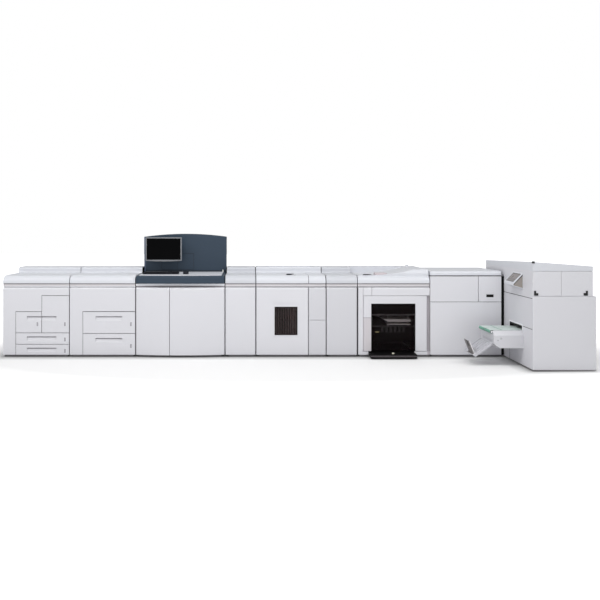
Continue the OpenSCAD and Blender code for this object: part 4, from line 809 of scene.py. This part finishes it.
def cart_deck():
    """Deck plate of the cart with its anti-slip ribs, inside the stacker."""
    y0, y1, z = second_lo.y + 30 * MM, second_hi.y - 40 * MM, 60 * MM
    deck = Solid().block(cart_lo.x + 14 * MM, cart_hi.x - 14 * MM, y0, y1, z - 4 * MM, z)
    for x in row(cart_lo.x + 50 * MM, cart_hi.x - 50 * MM, 9):
        deck.block(*span(x, -3, 3), y0 + 12 * MM, y1 - 12 * MM, z, z + 2 * MM)
    deck.done("cart_deck_plate", deck_black, "plinth_black", 1)


def cart_knob():
    """Bright lock knob on the front bar of the cart."""
    x, y = (cart_lo.x + cart_hi.x) / 2, cart_lo.y + 60 * MM
    ivory = coated("knob_ivory", srgb(252, 250, 228), rough=0.3)
    knob(x, y, 0, 56, 64, 66.5, 15).done("cart_lock_knob", ivory, "guide_steel", 0.6)


def cart_tread():
    """Ribbed rubber on the face of the cart's front bar."""
    tread = Solid()
    for z in row(26 * MM, 42 * MM, 3):
        tread.block(cart_lo.x + 16 * MM, cart_hi.x - 16 * MM, *span(cart_lo.y, -1.5, 1), z, z + 3.5 * MM)
    grey = coated("tread_grey", srgb(74, 70, 73), rough=0.7)
    tread.done("cart_bar_tread", grey, "plinth_black", 0.5)


def stacker_tag():
    """Small bare tag on a post inside the second stacker."""
    x, y = low("stacker_b_window").x + 79 * MM, second_lo.y + 50 * MM
    tag = near(x, y).block(0, 44, 0, 2, 277, 292)
    ivory = coated("tag_ivory", srgb(214, 200, 142), rough=0.5)
    tag.done("stacker_b_tag", ivory, "panel_white", 0.4)
    post = near(x, y).block(18, 26, 2, 8, second_lo.z / MM, 295)
    post.done("stacker_b_tag_post", deck_black, "seal_black")


def window_gasket(name, window, body, foot_lap):
    """Thin dark strips round a tinted sheet, with none at its foot if it has no lap there."""
    lo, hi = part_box(window)
    wide, deep = 5 * MM, span(lo.y, -3, 0)
    x0, x1, z0, z1 = lo.x + LAP, hi.x - LAP, lo.z + foot_lap, hi.z - LAP
    made = Solid()
    for x in (x0, x1 - wide):
        made.block(x, x + wide, *deep, z0, z1)
    for z in (z1 - wide, z0) if foot_lap else (z1 - wide,):
        made.block(x0 + wide, x1 - wide, *deep, z, z + wide)
    made.done(name, gasket, "seal_black", 0.5, body)


def window_slats():
    """Upright slats behind the small window, and the two bars that hold them, in a brown made lighter as
    painted light behind the dark glass.
    """
    lo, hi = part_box("stacker_a_window")
    slats = Solid()
    for x in row(lo.x + 30 * MM, hi.x - 30 * MM, 9):
        slats.block(*span(x, -4, 4), *span(hi.y, 14, 19), lo.z + 6 * MM, hi.z - 6 * MM)
    for z in (lo.z + 4 * MM, hi.z - 14 * MM):
        slats.block(lo.x + 14 * MM, hi.x - 14 * MM, *span(hi.y, 18, 23), z, z + 10 * MM)
    brown = coated("slat_brown", srgb(140, 116, 112), rough=0.5)
    slats.done("small_window_slats", brown, "seal_black", 0.8, "stacker_a_door")


def door_gap_light():
    """Light strips in the gaps above and left of the large door, as painted light that lifts the gaps' shade.
    """
    lo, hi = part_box("stacker_b_door")
    gap, middle = lo.x - 3 * MM, 0.5
    y0, y1 = lo.y + 4 * MM, surface("stacker_b_cabinet", (gap, IN_FRONT, middle), (0, 1, 0)).y
    strips = Solid().block(*span(gap, -1.5, 1.5), y0, y1, lo.z + 12 * MM, hi.z)
    strips.block(lo.x, hi.x - 90 * MM, y0, y1, *span(hi.z, 1.5, 4.5))
    light = coated("gap_painted_light", srgb(206, 204, 208), rough=0.6)
    strips.done("stacker_b_door_gap_light", light, "panel_white")


def hood_latch(name, x, y, wide, tall):
    """Dark latch lever that lies at the foot of a hood's step."""
    lever = [(0, -1), (0.4 * wide, -1), (wide, 0.7 * tall), (0.98 * wide, tall), (0.05 * wide, tall)]
    made = near(x, y, HOOD_LIP).prism(lever, "y", 0, 18)
    made.done(name, device_plastic, "device_grey", 1.5)


room_shade_sheets("first_stacker_shade_sheets", *first_room, [[corner.x for corner in first_room]])
elevator()
room_shade_sheets("second_stacker_shade_sheets", second_lo, second_hi,
            [(second_lo.x, cart_lo.x - CART_LANE), (cart_hi.x + CART_LANE, second_hi.x)])
cart_deck()
cart_knob()
stacker_tag()
cart_tread()
window_gasket("small_window_gasket", "stacker_a_window", "stacker_a_door", LAP)
window_gasket("large_window_gasket", "stacker_b_window", "stacker_b_door", 0)
window_slats()
door_gap_light()
hood_latch("stacker_a_hood_latch", low("stacker_a_hood").x + 0.364, 0.104, 92, 15)
hood_latch("stacker_b_hood_latch", low("stacker_b_hood").x + 0.074, 0.094, 104, 10)

# -------- console

LETTER_ROWS = [[1.4, 1.2, 1.2, 6.2, 1.2, 1.2, 1.4], [2.2] + [1] * 10 + [2.6], [1.8] + [1] * 11 + [2.0],
               [1.5] + [1] * 12 + [1.5], [1] * 13 + [2]]
ARROW_ROW = [1, 1, 1]
NUMBER_ROWS = [[2, 1, 1]] + [[1, 1, 1, 1]] * 4
KEY_PITCH = 19 * MM
FUNCTION_PITCH = 15 * MM

key_cap = coated("key_cap", srgb(20, 21, 26), rough=0.6, spread=0.08, mirror=0.1)
key_light = coated("key_light", srgb(92, 94, 98), rough=0.5)


def key_rows(made, left, right, y0, rows, pitch=KEY_PITCH):
    """Rows of key caps between two shares of the keyboard's width, on its slope."""
    lo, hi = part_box("keyboard")
    x0, x1 = (lo.x + share * (hi.x - lo.x) for share in (left, right))
    foot = lo.z + 9 * MM
    for r, widths in enumerate(rows):
        x, y = x0, y0 + r * pitch
        z = foot + min(1.0, (y + pitch / 2 - lo.y) / (0.75 * (hi.y - lo.y))) * (hi.z - foot)
        for width in widths:
            step = (x1 - x0) * width / sum(widths)
            rings = []
            for inset, front, rear in ((0.8 * MM, z - 0.5 * MM, z), (2.4 * MM, z + 3 * MM, z + 3.6 * MM)):
                a, b, c, d = x + inset, x + step - inset, y + inset, y + pitch - inset
                rings.append([(a, c, front), (b, c, front), (b, d, rear), (a, d, rear)])
            made.skin(rings)
            x += step


def keyboard_keys():
    """Letter block, arrow keys, number pad and the paler function keys."""
    y = low("keyboard").y + 12 * MM
    keys = Solid()
    key_rows(keys, 0.03, 0.655, y, LETTER_ROWS)
    key_rows(keys, 0.675, 0.8, y, [ARROW_ROW])
    key_rows(keys, 0.675, 0.8, y + 3 * KEY_PITCH, [ARROW_ROW] * 2)
    key_rows(keys, 0.82, 0.97, y, NUMBER_ROWS)
    keys.done("keyboard_keys", key_cap, "device_grey")
    function_keys = Solid()
    for left in row(0.03, 0.525, 4):
        key_rows(function_keys, left, left + 0.14, y + 5 * KEY_PITCH + 5 * MM, [[1] * 4], FUNCTION_PITCH)
    function_keys.done("keyboard_function_keys", key_light, "device_grey")


def mouse_parts():
    """Seam between the mouse's buttons, and its wheel."""
    x, front = (low("mouse").x + high("mouse").x) / 2, high("mouse").y - 8 * MM
    down = (0, 0, -1)
    line = [(y, surface("mouse", (x, y, ABOVE), down).z) for y in row(front, front - 42 * MM, 15)]
    outline = [(y, z - 0.6 * MM) for y, z in line] + [(y, z + 0.25 * MM) for y, z in line[::-1]]
    seam = Solid().prism(outline, "x", x - 0.6 * MM, x + 0.6 * MM)
    seam.done("mouse_seam", gap_black, "device_grey")
    y = front - 20 * MM
    z = surface("mouse", (x, y, ABOVE), down).z - 6 * MM
    wheel = near(x, y, z).rod((-3.2, 0, 0), (3.2, 0, 0), 8.5, sides=28)
    wheel.done("mouse_wheel", matt_black, "device_grey", 0.8)


def monitor_front():
    """Dark surround of the screen, the sagging chin under it and four buttons."""
    lo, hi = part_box("monitor_screen")
    body_lo, body_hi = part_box("monitor_housing")
    face = body_lo.y
    surround = Solid().frame(lo.x - 3 * MM, hi.x + 3 * MM, lo.z - 3 * MM, hi.z + 3 * MM, 3.2 * MM,
                             face - 0.6 * MM, face + 2.5 * MM)
    surround.done("screen_surround", key_cap, "device_grey")

    x0, x1, chin_top = body_lo.x + 2 * MM, body_hi.x - 2 * MM, lo.z - 4 * MM
    middle, half = (x0 + x1) / 2, (x1 - x0) / 2
    lower = [(x, body_lo.z + MM - 9 * MM * (1 - ((x - middle) / half) ** 2)) for x in row(x0, x1, 25)]
    chin = Solid().prism(lower + [(x1, chin_top), (x0, chin_top)], "y", face - 1.2 * MM, face + 16 * MM)
    chin.done("monitor_chin", bezel_plastic, "device_grey", 1.5)

    buttons = near(x1, face, lo.z)
    for x in row(-40, -82, 4):
        buttons.rod((x, -1.8, -10), (x, 0, -10), 2, sides=14)
    buttons.done("monitor_buttons", key_cap, "device_grey")


def monitor_arm():
    """Joint of the arm behind the monitor."""
    lo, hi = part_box("monitor_housing")
    back = low("console_panel").y
    joint = near((lo.x + hi.x) / 2, back, (lo.z + hi.z) / 2).rod((0, -12, 0), (0, 1, 0), 40, 44, sides=36)
    pivot = (lo.y - back) / MM + 74
    joint.rod((-28, pivot, 0), (28, pivot, 0), 27, sides=30)
    joint.done("monitor_arm_joint", device_plastic, "device_grey", 2)


def work_surface_vents():
    """Row of flush vents along the rear of the work surface."""
    lo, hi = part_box("work_surface")
    width = hi.x - lo.x
    vents = Solid()
    for x in row(lo.x + 0.16 * width, lo.x + 0.84 * width, 26):
        vents.block(*span(x, -7, 7), *span(hi.y, -26, -22), *span(hi.z, -1, 0.3))
    vents.done("work_surface_vents", fittings_grey, "device_grey")


def ledge_indicator():
    """Small light indicator at the right end of the work surface."""
    lamp = near(high("console_panel").x - 45 * MM, low("console_panel").y, high("work_surface").z)
    lamp.prism([(-11, -1), (11, -1), (3, 30), (-3, 30)], "y", -19, -9)
    light = coated("indicator_light", srgb(232, 232, 228), rough=0.3)
    lamp.done("ledge_indicator", light, "panel_white", 1.5)


def console_lock():
    """Lock knob of the small door in the console panel."""
    lo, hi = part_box("console_panel")
    lock = near((lo.x + hi.x) / 2 - 86 * MM, lo.y, high("console_ledge").z + 136 * MM)
    lock.rod((0, -2.5, 0), (0, 1, 0), 6.5, sides=22)
    lock.rod((0, -3.4, 0), (0, -2, 0), 4, sides=18)
    lock.done("console_door_lock", device_plastic, "device_grey", 0.5)


keyboard_keys()
mouse_parts()
monitor_front()
monitor_arm()
work_surface_vents()
ledge_indicator()
console_lock()

# -------- booklet maker

TUNNEL_REACH = 238  # millimetres
TUNNEL_FLOOR = 357 * MM


def belt_tunnel():
    """Dark sheets in the belts' tunnel as painted shade, the white rim round its mouth and the dark brush in
    it.
    """
    lo, hi = openings["belt_slot"]
    side = low("booklet_cabinet").x
    x0, x1 = span(side, 2, TUNNEL_REACH)
    y0, y1 = lo.y - 1.8 * MM, hi.y + 1.8 * MM
    walls = Solid()
    for y in (y0, y1 - SHEET):
        walls.block(x0, x1, y, y + SHEET, TUNNEL_FLOOR, hi.z)
    walls.block(x0, x1, y0, y1, hi.z, hi.z + SHEET)
    walls.block(x1 - SHEET, x1, y0, y1, TUNNEL_FLOOR, hi.z)
    walls.done("belt_tunnel_shade_sheets", shade_black, "seal_black")

    y0, y1 = lo.y - 2 * MM, hi.y + 2 * MM
    z0, z1 = high("conveyor_frame").z, hi.z + 2 * MM
    wide, proud = 16 * MM, span(side, -5, 1)
    rim = Solid().block(*proud, y0 - wide, y1 + wide, z1, z1 + wide)
    for y in (y0 - wide, y1):
        rim.block(*proud, y, y + wide, z0, z1)
    rim.done("belt_slot_rim", coated("slot_white", srgb(236, 236, 240), rough=0.4), "panel_white", 1.5)

    brush = Solid()
    for y in row(y0 + 5 * MM, y1 - 5 * MM, 40):
        brush.block(*span(side, 4, 6), *span(y, -2.6, 2.6), *span(hi.z, -22, 0))
    brush.done("belt_slot_curtain", gap_black, "seal_black")


def lid_knob():
    """Black cap of the knob on the lid's corner."""
    lo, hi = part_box("booklet_lid")
    cap = knob(lo.x + 15 * MM, lo.y + 15 * MM, hi.z, -25, -4, 0, 15.6)
    cap.done("lid_knob_cap", matt_black, "seal_black", 1.2)


def touch_panel():
    """Rubber seal round the touch screen, and the plain fields on it."""
    lo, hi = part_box("touch_screen")
    slope = math.atan2(hi.z - lo.z, hi.x - lo.x)
    turn = Matrix.Translation((lo + hi) / 2) @ Matrix.Rotation(-slope, 4, "Y")
    half_x = (hi.x - lo.x) / 2 / math.cos(slope) / MM
    half_y = (hi.y - lo.y) / 2 / MM
    out, back, tall = 2, 1.5, (-1, 2.2)
    seal = near()
    for side in (-1, 1):
        across = sorted((side * (half_x - back), side * (half_x + out)))
        along = sorted((side * (half_y - back), side * (half_y + out)))
        seal.block(-half_x - out, half_x + out, *along, *tall)
        seal.block(*across, -half_y, half_y, *tall)
    seal.done("touch_screen_seal", gasket, "seal_black", 0.4, turn=turn)

    fields = near()
    for y in row(24 - half_y, half_y - 24, 4):
        fields.block(12 - half_x, 30 - half_x, y - 16, y + 16, 1, 1.9)
    fields.block(42 - half_x, half_x - 14, 10 - half_y, half_y - 10, 1, 1.7)
    grey = glossy("touch_fields", srgb(134, 128, 128), 0.25, 0.2)
    fields.done("touch_screen_fields", grey, "screen_black", 0.2, turn=turn)


def touch_side_plates():
    """Grey plates on both sides of the housing, each with a dark gap along its top."""
    lo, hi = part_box("touch_screen_housing")
    left, right = lo.x + 9 * MM, hi.x - 5 * MM
    foot, top = hi.z - 128 * MM, hi.z - 22 * MM
    face = [(right, top), (right, lo.z + 9 * MM), (left, foot - 11 * MM), (left, foot)]
    gap = [(left - 1.5 * MM, foot + MM), (right - 1.5 * MM, top + MM), (right - MM, top - 11 * MM),
           (left - 0.5 * MM, foot - 7 * MM)]
    plates, gaps = Solid(), Solid()
    for y, out in ((lo.y, -MM), (hi.y, MM)):
        plates.prism(face, "y", y - out, y + 0.6 * out)
        gaps.prism(gap, "y", y - out, y + 0.9 * out)
    plates.done("touch_side_plates", coated("touch_plate", srgb(150, 144, 138), rough=0.6), "device_grey")
    gaps.done("touch_side_gaps", gap_black, "seal_black")


belt_tunnel()
lid_knob()
touch_panel()
touch_side_plates()

# -------- delivery belt and tray

frame_lo, frame_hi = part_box("conveyor_frame")
rollers_lo, rollers_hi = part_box("conveyor_rollers")
belts_lo, belts_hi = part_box("conveyor_belts")
NOSE_X = rollers_lo.x + 16 * MM
AXIS_Z = (rollers_lo.z + rollers_hi.z) / 2
BELT_SPLIT = (belts_lo.y + belts_hi.y) / 2
BELT_GAP = (BELT_SPLIT - 11 * MM, BELT_SPLIT + 11 * MM)
END_STOP_LEAN = math.radians(14)
TRAY_SLOPE = math.radians(-36)


def roller_hubs():
    """Hub with a hexagon end on both sides of the nose roller."""
    hubs = Solid()
    for y, out in ((rollers_lo.y + 3 * MM, -MM), (frame_hi.y, MM)):
        for reach, radius, sides in ((2.6, 11, 24), (4.2, 5.5, 6)):
            hubs.rod((NOSE_X, y, AXIS_Z), (NOSE_X, y + reach * out, AXIS_Z), radius * MM, sides=sides)
    hubs.done("roller_hubs", bright_steel, "guide_steel", 0.5)


def cheek_bolts():
    """Hexagon bolt and round screw on the front cheek, each on a washer."""
    bolts = near(*frame_lo)
    for x, z, head, washer, sides in ((104.2, 107, 9.4, 13, 6), (70.2, 86, 4.9, 8.5, 20)):
        bolts.rod((x, -0.2, z), (x, 3.5, z), head, sides=sides)
        bolts.rod((x, 2.2, z), (x, 3.5, z), washer, sides=28)
    bolts.done("conveyor_bolts", steel, "guide_steel", 0.4)


def belt_lacing():
    """Row of stitches across both belts, where their ends are joined."""
    count = 22
    lacing = Solid()
    for y0, y1 in ((belts_lo.y, BELT_GAP[0]), (BELT_GAP[1], belts_hi.y)):
        half_step = (y1 - y0) / count / 2
        for y in row(y0 + half_step, y1 - half_step, count):
            lacing.block(*span(NOSE_X, 111, 125), *span(y, -1.6, 1.6), *span(belts_hi.z, -0.5, 0.35))
    lacing.done("belt_lacing", coated("belt_weld", srgb(118, 168, 146), rough=0.5), "belt_mint")


def bed_strip():
    """Grey bed that shows between the two belts."""
    y0, y1 = BELT_GAP[0] + 1.5 * MM, BELT_GAP[1] - 1.5 * MM
    bed = Solid().block(NOSE_X + 22 * MM, frame_hi.x, y0, y1, AXIS_Z + 12 * MM, belts_hi.z - 3.2 * MM)
    grey = coated("tray_grey", srgb(176, 178, 182), rough=0.45, spread=0.04)
    bed.done("belt_bed_strip", grey, "guide_steel")


def end_stop_parts():
    """Dark backing behind the notch of the end stop, and its two clamp screws."""
    tray_hi = high("delivery_tray")
    middle = (low("tray_end_stop").y + high("tray_end_stop").y) / 2
    on_tray = Matrix.Translation((tray_hi.x - 5 * MM, middle, tray_hi.z - 30 * MM))
    foot = Matrix.Translation((-226 * MM, 0, MM))
    turn = on_tray @ Matrix.Rotation(TRAY_SLOPE, 4, "Y") @ foot @ Matrix.Rotation(END_STOP_LEAN, 4, "Y")
    plate = near().block(-4.5, -3.5, -32, 32, 70, 143)
    plate.done("end_stop_backing", matt_black, "seal_black", turn=turn)
    screws = near()
    for y in (-62, 62):
        screws.rod((-7.2, y, 18), (-10, y, 18), 6, sides=20)
        screws.rod((-0.4, y, 18), (2, y, 18), 5, sides=6)
    screws.done("end_stop_screws", bright_steel, "guide_steel", 0.4, turn=turn)


roller_hubs()
cheek_bolts()
belt_lacing()
bed_strip()
end_stop_parts()

# -------- interface module


def panel_grip_liner():
    """Black liner of the sunk grip in the upper panel."""
    lo, hi = openings["panel_grip"]
    wall = 1.5 * MM
    y0, y1 = low("interface_panels").y + MM, hi.y - wall
    liner = Solid().block(lo.x, hi.x, y1, hi.y, lo.z, hi.z)
    for x in (lo.x, hi.x - wall):
        liner.block(x, x + wall, y0, y1, lo.z, hi.z)
    for z in (lo.z, hi.z - wall):
        liner.block(lo.x + wall, hi.x - wall, y0, y1, z, z + wall)
    liner.done("panel_grip_liner", seal_rubber, "seal_black")


panel_grip_liner()

# -------- rear and right side of the booklet maker

SERVICE_PLATE_LEVELS = ((0.06, 0.50), (0.53, 1.02))


def service_panel(plates, fasteners, axis, face, u_span, z_span):
    """Flat panel on the rear (axis y) or the right (axis x), with a fastener in each corner."""
    deep = span(face, -1, 2)
    plates.block(*(deep + u_span if axis == "x" else u_span + deep), *z_span)
    for u in (u_span[0] + 18 * MM, u_span[1] - 18 * MM):
        for z in (z_span[0] + 18 * MM, z_span[1] - 18 * MM):
            ends = [(w, u, z) if axis == "x" else (u, w, z) for w in span(face, 1, 4)]
            fasteners.rod(*ends, 7 * MM, 6 * MM)


def booklet_service_panels():
    """Service panels and vent slots, away from the operator's side."""
    lo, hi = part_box("booklet_cabinet")
    x0, x1, y0, y1 = lo.x + 26 * MM, hi.x - 26 * MM, lo.y + 90 * MM, hi.y - 40 * MM
    split = (y0 + y1) / 2
    plates, slots, fasteners = Solid(), Solid(), Solid()
    for levels in SERVICE_PLATE_LEVELS:
        service_panel(plates, fasteners, "y", hi.y, (x0, x1), levels)
        service_panel(plates, fasteners, "x", hi.x, (y0, split - 5 * MM), levels)
        service_panel(plates, fasteners, "x", hi.x, (split + 5 * MM, y1), levels)
    for z in row(0.14, 0.26, 7):
        slots.block(x0 + 120 * MM, x1 - 120 * MM, *span(hi.y, 1, 2.5), *span(z, 0, 8))
        slots.block(*span(hi.x, 1, 2.5), *span(y0, 100, 380), *span(z, 0, 8))
    plates.done("booklet_service_plates", panel_paint, "panel_white", 0.8)
    slots.done("booklet_vent_slots", gap_black, "seal_black")
    fasteners.done("booklet_panel_fasteners", bright_steel, "guide_steel", 0.4)


booklet_service_panels()

# -------- joints between modules


def joint_strips():
    """Grey strips in two joints between modules, wider above the drawers: painted shade in the gaps, paler in
    the second joint as painted light.
    """
    pale = (high("stacker_b_cabinet").x - MM, low("interface_cabinet").x + MM)
    paint = coated("joint_strip", srgb(116, 114, 118), rough=0.7, mirror=0.1,
                   zones=[(pale, None, None, srgb(176, 173, 176))])
    foot, above_drawers, top = 0.04, high("feeder_b_drawer_upper").z + 20 * MM, 0.835
    strips = Solid()
    for left, right in (("feeder_b_cabinet", "engine_cabinet"), ("stacker_b_cabinet", "interface_cabinet")):
        x0, x1 = high(left).x + MM, low(right).x - 1.5 * MM
        strips.block(x0, x1, *span(FRONT, 3, 8), foot, top)
        strips.block(*span(x0), *span(FRONT, 3, 8), above_drawers, top)
    strips.done("joint_strips", paint, "seal_black")


joint_strips()
